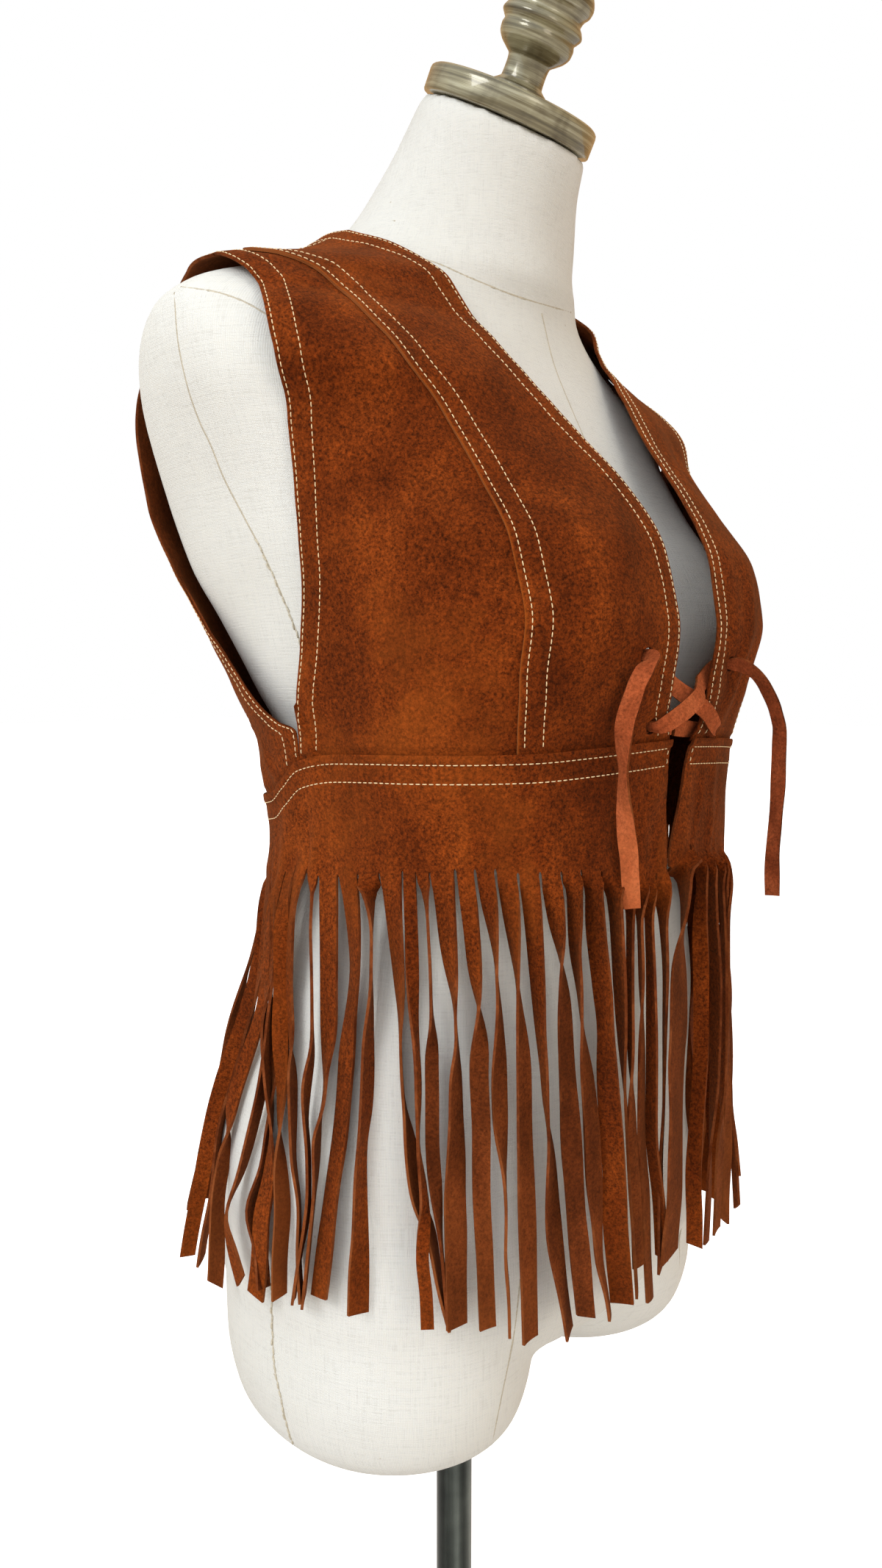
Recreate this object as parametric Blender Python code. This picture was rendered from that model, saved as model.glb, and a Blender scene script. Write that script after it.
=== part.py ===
"""Fringed suede vest worn by a limbless dress form on a short stand.

Metres, +Z up. The form faces -Y and its left is +X. The origin is the centre of
the base's underside, on the surface that the stand rests on. All tables are in
millimetres, with heights measured from the form's natural waist.
"""
import math

import bmesh
import bpy
import numpy as np
from mathutils import Matrix, Vector

for old in list(bpy.data.objects):
    bpy.data.objects.remove(old, do_unlink=True)

MM = 0.001

# ------------------------------------------------------------------ sizes, mm
WAIST_HEIGHT = 620.0      # natural waist above the floor
SUEDE = 1.5               # thickness of the hide
SEAM_GAP = 0.3            # between pieces that meet
SEAM_STEP = 0.005         # half of it along the waist seam, in levels of the tables
SIDE_STEP = 0.065         # half of it at the bands' side seams, in degrees
FRINGE_END = -178.0       # how far the fringe reaches down
HOLE_RADIUS = 4.0         # punched lacing holes
LACE_RADIUS = 1.5         # stand-in tube for the flat 9 mm lace

STUMP_X = 84.0            # thigh stumps, centre to centre line
STUMP_Y = -14.0
POLE_RADIUS = 11.0
POLE_TOP = -142.0
SOCKET_RADIUS = 11.5
BASE_RADIUS = 140.0
BASE_THICK = 12.0
COLLAR_RADIUS = 21.0
COLLAR_HEIGHT = 34.0
CAP_RADIUS = 48.5
CAP_THICK = 14.5

# ----------------------------------------------- sections of the dress form
# z height, half width, reach forward and back of centre_y, the powers of the
# front and back halves (2 is an ellipse, more is squarer), forward tilt in deg
FORM_COLS = "z half_width front back centre_y front_power back_power tilt".split()
FORM_ROWS = [
    (-215, 147, 98, 92, -14, 2.25, 2.3, 0),      # crotch
    (-180, 159, 115, 112, -14, 2.3, 2.4, 0),     # hip
    (-130, 158, 115, 114, -9, 2.2, 2.3, 0),
    (-85, 149, 115, 104, -8, 2.5, 2.3, 0),
    (-40, 138, 108, 94, -14, 2.8, 2.2, 0),
    (0, 127, 97, 86, -22, 2.9, 2.2, 0),          # natural waist
    (45, 120, 82, 84, -26, 2.3, 2.2, 0),
    (92, 124, 87, 88, -22, 2.2, 2.2, 0),
    (130, 134, 102, 94, -14, 2.2, 2.5, 0),       # under-bust
    (165, 142, 110, 96, -6, 2.2, 3.1, 0),       # bust
    (195, 150, 112, 102, 0, 2.2, 3.6, 0),
    (225, 158, 106, 106, 3, 2.1, 3.7, 0),
    (255, 171, 96, 105, 5, 2.1, 3.5, 0),
    (280, 182, 87, 101, 8, 2.1, 3.1, 0),
    (300, 186, 81, 93, 11, 1.95, 2.8, 0),
    (313, 185, 78, 85, 13, 1.8, 2.5, 0),         # shoulder tip
    (323, 175, 75, 78, 13, 1.65, 2.2, 1),
    (332, 155, 73, 72, 13, 1.6, 2.0, 2),
    (340, 131, 72, 67, 12, 1.6, 1.9, 4),
    (349, 107, 72, 63, 10, 1.65, 1.9, 7),
    (360, 85, 72, 58, 6, 1.8, 1.9, 11),          # neck base
    (374, 68, 67, 53, 0, 1.9, 2.0, 16),
    (392, 58, 60, 49, -8, 2.0, 2.0, 21),
    (414, 51, 53, 47, -21, 2.0, 2.0, 26),
    (436, 47.5, 47.5, 46.5, -36, 2.0, 2.0, 28.4),  # top of the neck
]

# ------------------------------------------------- sections of the vest
# the same levels as the form's rows 1 to 22; the front and back halves have
# their own half widths, because the armholes part them
VEST_COLS = "level z front_width back_width front back centre_y front_power back_power bust tilt".split()
VEST_ROWS = [
    (1, -180, 169, 169, 152, 133, -4, 2.15, 2.3, 0, 0),
    (2, -130, 162, 162, 151, 122, -6, 2.2, 2.3, 0, 0),
    (3, -85, 153, 153, 148, 116, -9, 2.25, 2.3, 0, 0),
    (4, -40, 145, 145, 141, 112, -14, 2.4, 2.3, 0, 0),
    (5, 0, 140, 140, 133, 108, -20, 2.5, 2.3, 0, 0),
    (6, 45, 134, 134, 120, 106, -28, 2.6, 2.3, 0, 0),
    (7, 92, 139, 140, 119, 108, -28, 2.7, 2.3, 0, 0),
    (8, 130, 146, 149, 138, 106, -18, 2.7, 2.5, 3, 0),
    (9, 165, 148, 158, 151, 106, -8, 2.7, 2.8, 8, 0),
    (10, 195, 153, 172, 149, 111, -4, 2.6, 3.0, 9, 0),
    (11, 225, 159, 182, 137, 115, 0, 2.3, 3.2, 8, 0),
    (12, 255, 168, 187, 118, 116, 3, 2.25, 3.2, 5, 0),
    (13, 280, 183, 190, 103, 113, 7, 2.5, 3.1, 2, 0),
    (14, 302, 191, 192, 90, 103, 11, 2.2, 2.9, 0, 0),
    (15, 317, 190, 190, 82, 93, 13, 1.8, 2.6, 0, 0),
    (16, 330, 178, 178, 79, 86, 13, 1.65, 2.4, 0, 1),
    (17, 339, 157, 157, 78, 80, 13, 1.65, 2.2, 0, 2),
    (18, 346, 133, 133, 77, 75, 12, 1.65, 2.1, 0, 4),
    (19, 354, 107, 107, 77, 70, 10, 1.7, 2.0, 0, 7),
    (20, 365, 86, 86, 76, 65, 6, 1.85, 2.0, 0, 11),
    (21, 379, 70, 70, 72, 60, 0, 1.95, 2.0, 0, 16),
    (22, 397, 63, 63, 65, 56, -8, 2.0, 2.0, 0, 21),
]
BUST_X, BUST_Z = 84.0, 166.0
BUST_ACROSS, BUST_UP, BUST_DOWN = 42.0, 66.0, 42.0
FORM_BUST = 38.0

# ---------------------------------------------------- cutting lines of the vest
# each row is one level up the front, from the waist seam to the shoulder seam.
# angle is in degrees round the section, 0 at the centre front, 90 at the side;
# level is the height in rows of the section table
FRONT_COLS = "edge_angle edge_level princess_angle princess_level arm_angle arm_level".split()
FRONT_ROWS = [
    (2.1, 7.23, 41.8, 7.12, 96.5, 6.98),      # waist seam
    (6.6, 7.76, 42.2, 7.70, 91.5, 7.55),
    (7.1, 8.50, 42.8, 8.45, 85.0, 8.45),
    (7.8, 9.46, 42.9, 9.35, 81.2, 9.35),
    (8.6, 10.35, 42.4, 10.20, 79.0, 10.20),
    (10.5, 11.19, 41.8, 11.00, 76.3, 11.00),
    (13.2, 11.95, 41.1, 11.75, 73.0, 11.75),
    (15.7, 12.80, 40.3, 12.50, 68.3, 12.45),
    (17.2, 13.75, 40.2, 13.30, 64.0, 13.15),
    (19.2, 14.90, 42.8, 14.20, 62.0, 13.90),
    (23.5, 16.20, 47.8, 15.10, 63.5, 14.70),
    (31.5, 17.60, 56.0, 15.90, 68.0, 15.35),
    (45.0, 18.80, 66.0, 16.45, 75.0, 15.85),
    (66.0, 19.75, 78.0, 16.95, 82.5, 16.30),
    (89.4, 20.25, 89.4, 17.50, 89.4, 16.65),  # shoulder seam
]
# the back: its side seam and armhole edge, and the centre back, which turns
# along the back neck from row 15 on
BACK_COLS = "arm_angle arm_level centre_angle centre_level".split()
BACK_ROWS = [
    (96.5, 6.98, 180, 6.50),                  # waist seam
    (95.6, 7.30, 180, 7.00),                  # foot of the armhole
    (100.5, 7.46, 180, 7.60),
    (106.0, 7.70, 180, 8.30),
    (110.5, 8.10, 180, 9.10),
    (114.5, 8.45, 180, 10.0),
    (119.0, 8.78, 180, 10.9),
    (124.0, 9.12, 180, 11.9),
    (129.0, 9.55, 180, 12.9),
    (132.3, 10.15, 180, 14.0),
    (133.8, 10.90, 180, 15.2),
    (134.4, 11.70, 180, 16.4),
    (134.8, 12.60, 180, 17.6),
    (136.6, 13.60, 180, 18.8),
    (136.0, 14.45, 180, 19.7),                # centre of the back neck
    (132.8, 15.35, 156, 19.85),
    (127.0, 16.20, 131, 20.05),
    (111.0, 16.66, 108, 20.2),
    (90.6, 16.65, 90.6, 20.25),               # shoulder seam
]
BACK_NECK_ROW = 14
# columns of each panel, shared with the band sewn to it
CENTRE_ACROSS, SIDE_ACROSS, BACK_ACROSS = 7, 6, 9
# the waist seam and the tops of the fringe's slits, round from centre front
WAIST_COLS = "angle seam_level slit_level".split()
WAIST_ROWS = [
    (0, 7.24, 5.87),
    (20, 7.19, 5.90),
    (42, 7.12, 5.97),
    (64, 7.11, 5.96),
    (84, 7.08, 5.88),
    (96.5, 6.98, 5.81),
    (105, 6.76, 5.77),
    (115, 6.57, 5.71),
    (135, 6.50, 5.67),
    (180, 6.50, 5.65),
]
# centre-front edge of the two front bands and their fringe, in degrees from the
# centre line: the band meets the other one below the lacing
FRONT_BAND_COLS = "level right left".split()
FRONT_BAND_ROWS = [
    (1.0, 1.5, 9.0),
    (3.0, 2.2, 5.0),
    (5.0, 2.9, 0.6),
    (5.9, 2.9, -1.8),
    (6.5, 2.8, 3.0),
    (7.23, 2.1, 6.7),
]
SIDE_SEAM_ANGLE = 96.5

# lacing holes: angle (minus is the form's right) and level
HOLE_COLS = "angle level".split()
HOLE_ROWS = {
    "right_upper": (-17.6, 8.39),
    "right_lower": (-10.8, 7.45),
    "left_upper": (16.0, 8.31),
    "left_lower": (15.1, 7.33),
}

# the lace, in millimetres: x across, y fore and aft, z above the waist. It is one
# strip, parted behind the lower holes so that each half is a piece of its own.
LACE_COLS = "x y z".split()
LACE_LEFT_ROWS = [            # out at the right lower hole, up to the left upper hole
    (0.6, -144.6, 109.2), (-12.4, -144.8, 110.0), (-21.8, -145.2, 110.6),
    (-26.0, -146.6, 110.4), (-27.0, -149.0, 110.0), (-27.1, -152.4, 109.7),
    (-24.6, -155.0, 110.6), (-19.0, -156.8, 113.3), (-8.9, -158.6, 118.2),
    (1.3, -158.8, 123.2), (9.7, -156.0, 127.7), (17.8, -152.1, 131.8),
    (29.5, -152.0, 138.3), (37.4, -152.6, 141.4), (40.6, -154.2, 141.7),
    (41.5, -156.6, 141.4), (41.2, -160.4, 141.0), (39.6, -165.0, 140.2),
    (38.2, -171.0, 137.2), (38.4, -178.0, 129.0), (41.0, -182.6, 117.2),
    (43.6, -184.0, 105.8), (43.4, -184.0, 92.5), (43.2, -184.0, 79.0),
    (41.0, -184.0, 59.1), (38.4, -184.0, 39.0), (39.4, -184.0, 20.5),
]
LACE_RIGHT_ROWS = [           # out at the left lower hole, up to the right upper hole
    (4.0, -144.5, 108.6), (14.8, -144.1, 107.7), (31.6, -143.6, 106.2),
    (36.6, -144.6, 105.5), (37.7, -146.9, 105.4), (37.9, -150.0, 105.9),
    (34.4, -152.2, 107.6), (27.8, -153.8, 111.2), (17.7, -155.3, 116.8),
    (7.6, -154.0, 122.0), (-1.3, -151.8, 126.4), (-11.5, -151.0, 130.7),
    (-23.0, -151.4, 135.3), (-36.0, -152.0, 141.2), (-43.4, -153.2, 144.0),
    (-45.6, -155.0, 144.6), (-45.9, -157.4, 144.3), (-46.6, -160.4, 143.6),
    (-50.2, -162.4, 141.6), (-57.2, -162.6, 136.6), (-61.6, -161.2, 129.6),
    (-62.4, -156.8, 116.0), (-58.4, -152.8, 102.2), (-54.9, -151.0, 89.7),
    (-53.8, -150.6, 77.3), (-51.6, -150.8, 60.9), (-49.6, -151.6, 45.6),
    (-49.6, -153.5, 22.7),
]

# thigh stumps, bottom up: z, half width, half depth
STUMP_COLS = "z half_width half_depth".split()
STUMP_ROWS = [
    (-282, 14, 19), (-278, 37, 46), (-270, 55, 68), (-259, 65, 82),
    (-244, 70, 89), (-224, 73, 93), (-195, 73, 94), (-160, 71, 91),
]

# turned profiles: height above the seat, radius
CAP_ROWS = [(0, CAP_RADIUS - 1.2), (1.2, CAP_RADIUS), (11.0, CAP_RADIUS), (13.3, CAP_RADIUS - 1.0),
            (CAP_THICK, CAP_RADIUS - 3.4)]
FINIAL_ROWS = [
    (0.0, 15.6), (1.6, 16.4), (3.8, 16.0), (6.0, 13.4), (7.6, 11.8), (14.0, 11.5), (18.0, 11.9),
    (20.5, 14.6), (23.5, 18.2), (27.0, 20.3), (30.0, 20.6), (32.4, 20.0), (34.2, 21.2), (36.6, 22.6),
    (39.0, 21.6), (41.6, 19.8), (44.6, 20.6), (47.6, 22.8), (50.6, 23.4), (54.0, 22.4), (58.0, 19.4),
    (61.0, 15.2), (63.0, 9.0), (63.8, 3.0),
]


# ------------------------------------------------------------------ small tools
def table(cols, rows):
    """A table's columns by name."""
    return {c: np.array([r[i] for r in rows], float) for i, c in enumerate(cols)}


def smooth(xs, ys, x):
    """Monotone cubic curve through a table's column."""
    h = np.diff(xs)
    d = np.diff(ys) / h
    m = np.zeros(len(xs))
    for i in range(1, len(xs) - 1):
        if d[i - 1] * d[i] > 0:
            w1, w2 = 2 * h[i] + h[i - 1], h[i] + 2 * h[i - 1]
            m[i] = (w1 + w2) / (w1 / d[i - 1] + w2 / d[i])
    m[0], m[-1] = d[0], d[-1]
    x = np.asarray(x, float)
    i = np.clip(np.searchsorted(xs, x) - 1, 0, len(xs) - 2)
    s = np.clip((x - xs[i]) / h[i], 0, 1)
    return ((2 * s**3 - 3 * s**2 + 1) * ys[i] + (s**3 - 2 * s**2 + s) * h[i] * m[i]
            + (3 * s**2 - 2 * s**3) * ys[i + 1] + (s**3 - s**2) * h[i] * m[i + 1])


def left_set(x, z):
    """The left side isn't quite the mirror of the right: its neck stands out and its shoulder sits back, mm."""
    near, far = (np.clip((x - a) / w, 0, 1) for a, w in ((10, 40), (40, 70)))
    return (6.8 * np.exp(-((z - 382) / 24) ** 2) * near * near * (3 - 2 * near)
            - 10.0 * np.exp(-((z - 325) / 25) ** 2) * far * far * (3 - 2 * far))


def section(z, front_width, back_width, front, back, centre_y, front_power, back_power, bust, tilt, phi):
    """Point of a horizontal section at angle phi (radians, 0 is the front, +90 deg the left)."""
    s, c = np.sin(phi), np.cos(phi)
    ahead = c > 0
    n = np.where(ahead, front_power, back_power)
    k = (np.abs(s) ** n + np.abs(c) ** n) ** (-1 / n)
    x = np.where(ahead, front_width, back_width) * s * k
    y = -np.where(ahead, front, back) * c * k
    rise = np.where(z > BUST_Z, BUST_UP, BUST_DOWN)
    swell = sum(np.exp(-((x - side * BUST_X) / BUST_ACROSS) ** 2) for side in (-1, 1))
    y = y - bust * swell * np.exp(-((z - BUST_Z) / rise) ** 2) * np.clip(2 * c, 0, 1)
    lean = np.radians(tilt)
    y, z = centre_y + y * np.cos(lean), z + y * np.sin(lean)
    out = left_set(x, z)
    return np.stack([x + 0.643 * out, y - 0.766 * out, z], -1)


FORM = table(FORM_COLS, FORM_ROWS)
VEST = table(VEST_COLS, VEST_ROWS)
FORM_LEVELS = np.arange(len(FORM_ROWS), dtype=float)


def form_point(level, phi):
    v = [smooth(FORM_LEVELS, FORM[c], level) for c in FORM_COLS]
    return section(v[0], v[1], v[1], v[2], v[3], v[4], v[5], v[6], FORM_BUST, v[7], phi)


def vest_point(level, phi):
    v = [smooth(VEST["level"], VEST[c], level) for c in VEST_COLS[1:]]
    return section(*v, phi)


def world(p):
    """Millimetres from the waist to metres from the floor."""
    p = np.asarray(p, float)
    return (p + np.array([0, 0, WAIST_HEIGHT])) * MM


def material(name, colour, roughness, metallic=0.0):
    m = bpy.data.materials.new(name)
    m.use_nodes = True
    b = m.node_tree.nodes["Principled BSDF"]
    b.inputs["Base Color"].default_value = (*colour, 1)
    b.inputs["Roughness"].default_value = roughness
    b.inputs["Metallic"].default_value = metallic
    return m


def add_object(name, mesh, mat):
    mesh.materials.append(mat)
    ob = bpy.data.objects.new(name, mesh)
    bpy.context.scene.collection.objects.link(ob)
    return ob


def mesh_from(name, verts, faces):
    me = bpy.data.meshes.new(name)
    me.from_pydata([tuple(map(float, v)) for v in verts], [], [tuple(map(int, f)) for f in faces])
    me.update()
    return me


# ------------------------------------------------------------------ cloth walls
def cloth(name, rows_of_points, mat, closed_column=None):
    """A wall of suede from a grid of points on the vest's outer surface, thickened inwards.

    rows_of_points is one or two grids (rows, columns, xyz); with two, column 0 of
    each is the shared centre line up to row closed_column."""
    verts, faces, index = [], [], {}
    for g, grid in enumerate(rows_of_points):
        rows, cols = grid.shape[:2]
        for i in range(rows):
            for j in range(cols):
                shared = g and closed_column is not None and j == 0 and i <= closed_column
                if shared:
                    index[g, i, j] = index[0, i, j]
                else:
                    index[g, i, j] = len(verts)
                    verts.append(world(grid[i, j]))
        for i in range(rows - 1):
            for j in range(cols - 1):
                q = [index[g, i, j], index[g, i, j + 1], index[g, i + 1, j + 1], index[g, i + 1, j]]
                faces.append((q[0], q[1], q[2]))
                faces.append((q[0], q[2], q[3]))
    me = mesh_from(name, verts, faces)
    bm = bmesh.new()
    bm.from_mesh(me)
    bmesh.ops.recalc_face_normals(bm, faces=bm.faces)
    bm.normal_update()
    centre = Vector((0, 0, 0))
    out = 0.0
    for f in bm.faces:
        c = f.calc_center_median()
        out += f.normal.dot(Vector((c.x, c.y + 0.02, 0)) - centre) * f.calc_area()
    if out < 0:
        bmesh.ops.reverse_faces(bm, faces=bm.faces)
    bm.to_mesh(me)
    bm.free()
    me.shade_smooth()
    ob = add_object(name, me, mat)
    wall = ob.modifiers.new("wall", "SOLIDIFY")
    wall.thickness = SUEDE * MM
    wall.offset = -1.0
    wall.use_rim = True
    return ob


def line(tab, cols, v):
    """Angle and level of a cutting line at fractions v of its rows."""
    rows = np.arange(len(tab[cols[0]]), dtype=float)
    return smooth(rows, tab[cols[0]], v), smooth(rows, tab[cols[1]], v)


WAIST = table(WAIST_COLS, WAIST_ROWS)


def seam_level(angle):
    return smooth(WAIST["angle"], WAIST["seam_level"], np.abs(angle))


def slit_level(angle):
    return smooth(WAIST["angle"], WAIST["slit_level"], np.abs(angle))


def edge_set(v):
    """How far round the left front's edge lies from the mirror of the right one's, degrees."""
    return 4.6 * np.exp(-((v / 0.9) ** 2)) - 4.0 * np.exp(-(((v - 7.5) / 1.8) ** 2))


def panel(tab, inner, outer, levels, across, side):
    """Grid between two cutting lines, half a seam gap in from each, on one side of the body."""
    v = np.asarray(levels, float)
    a0, l0 = line(tab, inner, v)
    a1, l1 = line(tab, outer, v)
    if side > 0 and inner[0] == "edge_angle":
        a0 = a0 + edge_set(v)
    p0 = vest_point(l0, np.radians(a0))
    p1 = vest_point(l1, np.radians(a1))
    inset = np.clip(0.5 * SEAM_GAP / np.linalg.norm(p1 - p0, axis=1), 0, 0.2)
    grid = []
    for k in range(across + 1):
        u = inset + (1 - 2 * inset) * k / across
        angle = (1 - u) * a0 + u * a1
        level = (1 - u) * l0 + u * l1
        # the foot of the panel follows the waist seam
        near_seam = np.clip(1 - v / 2.0, 0, 1)
        foot = seam_level(angle) + SEAM_STEP
        straight = (1 - u) * l0[0] + u * l1[0]
        level = level + near_seam * (foot - straight)
        grid.append(vest_point(level, np.radians(side * angle)))
    return np.stack(grid, 1)


def punch(ob, holes):
    """Lacing holes through a panel, square to the cloth."""
    for n, (angle, level) in enumerate(holes):
        phi = math.radians(angle)
        p = vest_point(level, phi)
        du = vest_point(level, phi + 0.01) - p
        dv = vest_point(level + 0.02, phi) - p
        n_out = np.cross(du, dv)
        n_out /= np.linalg.norm(n_out)
        bm = bmesh.new()
        bmesh.ops.create_cone(bm, cap_ends=True, segments=12, radius1=HOLE_RADIUS * MM,
                              radius2=HOLE_RADIUS * MM, depth=0.02)
        me = bpy.data.meshes.new(ob.name + "_hole_%d" % n)
        bm.to_mesh(me)
        bm.free()
        cutter = bpy.data.objects.new(me.name, me)
        bpy.context.scene.collection.objects.link(cutter)
        cutter.matrix_world = (Matrix.Translation(Vector(world(p)))
                               @ Vector(n_out).to_track_quat("Z", "Y").to_matrix().to_4x4())
        cutter.hide_render = True
        cutter.display_type = "WIRE"
        cut = ob.modifiers.new("hole", "BOOLEAN")
        cut.operation = "DIFFERENCE"
        cut.solver = "EXACT"
        cut.object = cutter


suede = material("suede", (0.23, 0.075, 0.022), 0.95)
lace_suede = material("lace_suede", (0.30, 0.085, 0.030), 0.95)
linen = material("linen", (0.78, 0.74, 0.66), 0.9)
varnish = material("varnished_wood", (0.16, 0.15, 0.10), 0.25)
steel = material("dark_steel", (0.06, 0.065, 0.06), 0.4, 0.9)

FRONT = table(FRONT_COLS, FRONT_ROWS)
BACK = table(BACK_COLS, BACK_ROWS)
FRONT_LEVELS = [0, 1, 2, 3, 4, 5, 6, 7, 8, 9, 10, 11, 12, 13, 14]
for side, word in ((-1, "right"), (1, "left")):
    centre = cloth("vest_front_centre_" + word,
                   [panel(FRONT, ("edge_angle", "edge_level"), ("princess_angle", "princess_level"),
                          FRONT_LEVELS, CENTRE_ACROSS, side)], suede)
    punch(centre, [HOLE_ROWS[word + "_lower"], HOLE_ROWS[word + "_upper"]])
    cloth("vest_front_side_" + word,
          [panel(FRONT, ("princess_angle", "princess_level"), ("arm_angle", "arm_level"),
                 FRONT_LEVELS, SIDE_ACROSS, side)], suede)


def back_half(side):
    v = np.arange(len(BACK_ROWS), dtype=float)
    a0, l0 = line(BACK, ("centre_angle", "centre_level"), v)
    a1, l1 = line(BACK, ("arm_angle", "arm_level"), v)
    p0 = vest_point(l0, np.radians(a0))
    p1 = vest_point(l1, np.radians(a1))
    inset = np.clip(0.5 * SEAM_GAP / np.linalg.norm(p1 - p0, axis=1), 0, 0.2)
    grid = []
    for k in range(BACK_ACROSS + 1):
        u = (1 - inset) * k / BACK_ACROSS
        angle = (1 - u) * a0 + u * a1
        level = (1 - u) * l0 + u * l1
        near_seam = np.clip(1 - v / 2.0, 0, 1)
        straight = (1 - u) * l0[0] + u * l1[0]
        level = level + near_seam * (seam_level(angle) + SEAM_STEP - straight)
        grid.append(vest_point(level, np.radians(side * angle)))
    return np.stack(grid, 1)


cloth("vest_back", [back_half(-1), back_half(1)], suede, closed_column=BACK_NECK_ROW)

# --------------------------------------------------- bands and the fringe's reach
FRONT_BAND = table(FRONT_BAND_COLS, FRONT_BAND_ROWS)
FRINGE_LEVEL = 1.0 + (FRINGE_END + 180.0) / 50.0


def strip(first, last, top, bottom, columns, rows, side=1):
    """Grid between two angles, which may change with height, and two heights, which may
    change with angle. columns holds fractions of the way from one angle to the other."""
    grid = np.zeros((rows + 1, len(columns), 3))
    for i in range(rows + 1):
        h = i / rows
        for j, w in enumerate(columns):
            rough = (1 - h) * bottom(last(6.0)) + h * top(last(6.0))
            a0, a1 = first(rough), last(rough)
            angle = (1 - w) * a0 + w * a1
            level = (1 - h) * bottom(angle) + h * top(angle)
            angle = (1 - w) * first(level) + w * last(level)
            grid[i, j] = vest_point(level, math.radians(side * angle))
    return grid


def front_edge(word):
    return lambda level: float(smooth(FRONT_BAND["level"], FRONT_BAND[word], level))


band_top = lambda angle: float(seam_level(angle)) - SEAM_STEP
band_foot = lambda angle: float(slit_level(angle)) + SEAM_STEP
fringe_top = lambda angle: float(slit_level(angle)) - SEAM_STEP
fringe_foot = lambda angle: FRINGE_LEVEL
foot_angles = np.concatenate([
    np.linspace(FRONT["edge_angle"][0], FRONT["princess_angle"][0], CENTRE_ACROSS + 1),
    np.linspace(FRONT["princess_angle"][0], SIDE_SEAM_ANGLE, SIDE_ACROSS + 1)[1:]])
front_columns = (foot_angles - foot_angles[0]) / (foot_angles[-1] - foot_angles[0])
back_columns = np.linspace(0, 1, 2 * BACK_ACROSS + 1)
for side, word in ((-1, "right"), (1, "left")):
    to_side = lambda level: SIDE_SEAM_ANGLE - SIDE_STEP
    cloth("vest_band_front_" + word,
          [strip(front_edge(word), to_side, band_top, band_foot, front_columns, 3, side)], suede)
    cloth("vest_fringe_front_" + word,
          [strip(front_edge(word), to_side, fringe_top, fringe_foot, front_columns, 5, side)], suede)
from_side = lambda level: SIDE_SEAM_ANGLE + SIDE_STEP
round_back = lambda level: 360.0 - SIDE_SEAM_ANGLE - SIDE_STEP
fold = lambda f: (lambda angle: f(angle if angle <= 180 else 360 - angle))
cloth("vest_band_back", [strip(from_side, round_back, fold(band_top), fold(band_foot), back_columns, 3)], suede)
cloth("vest_fringe_back", [strip(from_side, round_back, fold(fringe_top), fold(fringe_foot), back_columns, 5)], suede)


# ------------------------------------------------------------------------ lace
def lace(name, rows):
    """A tube along a smooth curve through the lace's route, a point every 5 mm or so."""
    p = np.array(rows, float)
    s = np.concatenate([[0], np.cumsum(np.linalg.norm(np.diff(p, axis=0), axis=1))])
    at = np.linspace(0, s[-1], max(2, int(round(s[-1] / 5.0))) + 1)
    route = np.stack([smooth(s, p[:, k], at) for k in range(3)], -1)
    cu = bpy.data.curves.new(name, "CURVE")
    cu.dimensions = "3D"
    cu.bevel_depth = LACE_RADIUS * MM
    cu.bevel_resolution = 2
    cu.use_fill_caps = True
    sp = cu.splines.new("POLY")
    sp.points.add(len(route) - 1)
    for pt, co in zip(sp.points, world(route)):
        pt.co = (*co, 1)
    cu.materials.append(lace_suede)
    ob = bpy.data.objects.new(name, cu)
    bpy.context.scene.collection.objects.link(ob)
    return ob


lace("lace_left", LACE_LEFT_ROWS)
lace("lace_right", LACE_RIGHT_ROWS)


# ------------------------------------------------------------------- dress form
def loft(name, rings, mat=None):
    """A closed solid through rings of equal point counts, with flat ends."""
    count = len(rings[0])
    verts = [world(p) for ring in rings for p in ring]
    faces = []
    for i in range(len(rings) - 1):
        for j in range(count):
            a, b = i * count + j, i * count + (j + 1) % count
            faces.append((a, b, b + count, a + count))
    faces.append(tuple(range(count - 1, -1, -1)))
    faces.append(tuple((len(rings) - 1) * count + j for j in range(count)))
    me = mesh_from(name, verts, faces)
    bm = bmesh.new()
    bm.from_mesh(me)
    bmesh.ops.recalc_face_normals(bm, faces=bm.faces)
    bm.to_mesh(me)
    bm.free()
    return me


SEGMENTS = 40
turn = np.linspace(0, 2 * math.pi, SEGMENTS, endpoint=False)
form_levels = [0, 1, 2, 3, 4, 5, 6, 7, 8, 8.5, 9, 9.5, 10, 11, 12, 13, 14, 15, 16, 17, 18, 19, 20, 21, 22, 23, 24]
torso = add_object("form_torso", loft("form_torso", [form_point(float(t), turn) for t in form_levels]), linen)
torso.data.shade_smooth()


def join(ob, cutter, operation):
    cutter.hide_render = True
    cutter.display_type = "WIRE"
    m = ob.modifiers.new(operation.lower(), "BOOLEAN")
    m.operation = operation
    m.solver = "EXACT"
    m.object = cutter


stump_turn = np.linspace(0, 2 * math.pi, 24, endpoint=False)
for side in (-1, 1):
    rings = [np.stack([side * STUMP_X + a * np.sin(stump_turn), STUMP_Y - b * np.cos(stump_turn),
                       np.full(len(stump_turn), float(z))], -1) for z, a, b in STUMP_ROWS]
    stump = add_object("stump_guide_%d" % (side + 2), loft("stump", rings), linen)
    join(torso, stump, "UNION")


def rod(name, z0, z1, radius, mat, segments=24):
    """An upright round bar on the stand's axis, between two heights from the waist."""
    bm = bmesh.new()
    bmesh.ops.create_cone(bm, cap_ends=True, segments=segments, radius1=radius * MM, radius2=radius * MM,
                          depth=(z1 - z0) * MM)
    me = bpy.data.meshes.new(name)
    bm.to_mesh(me)
    bm.free()
    me.shade_smooth()
    me.set_sharp_from_angle(angle=math.radians(40))
    ob = add_object(name, me, mat)
    ob.location = world((0, 0, (z0 + z1) / 2))
    return ob


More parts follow.
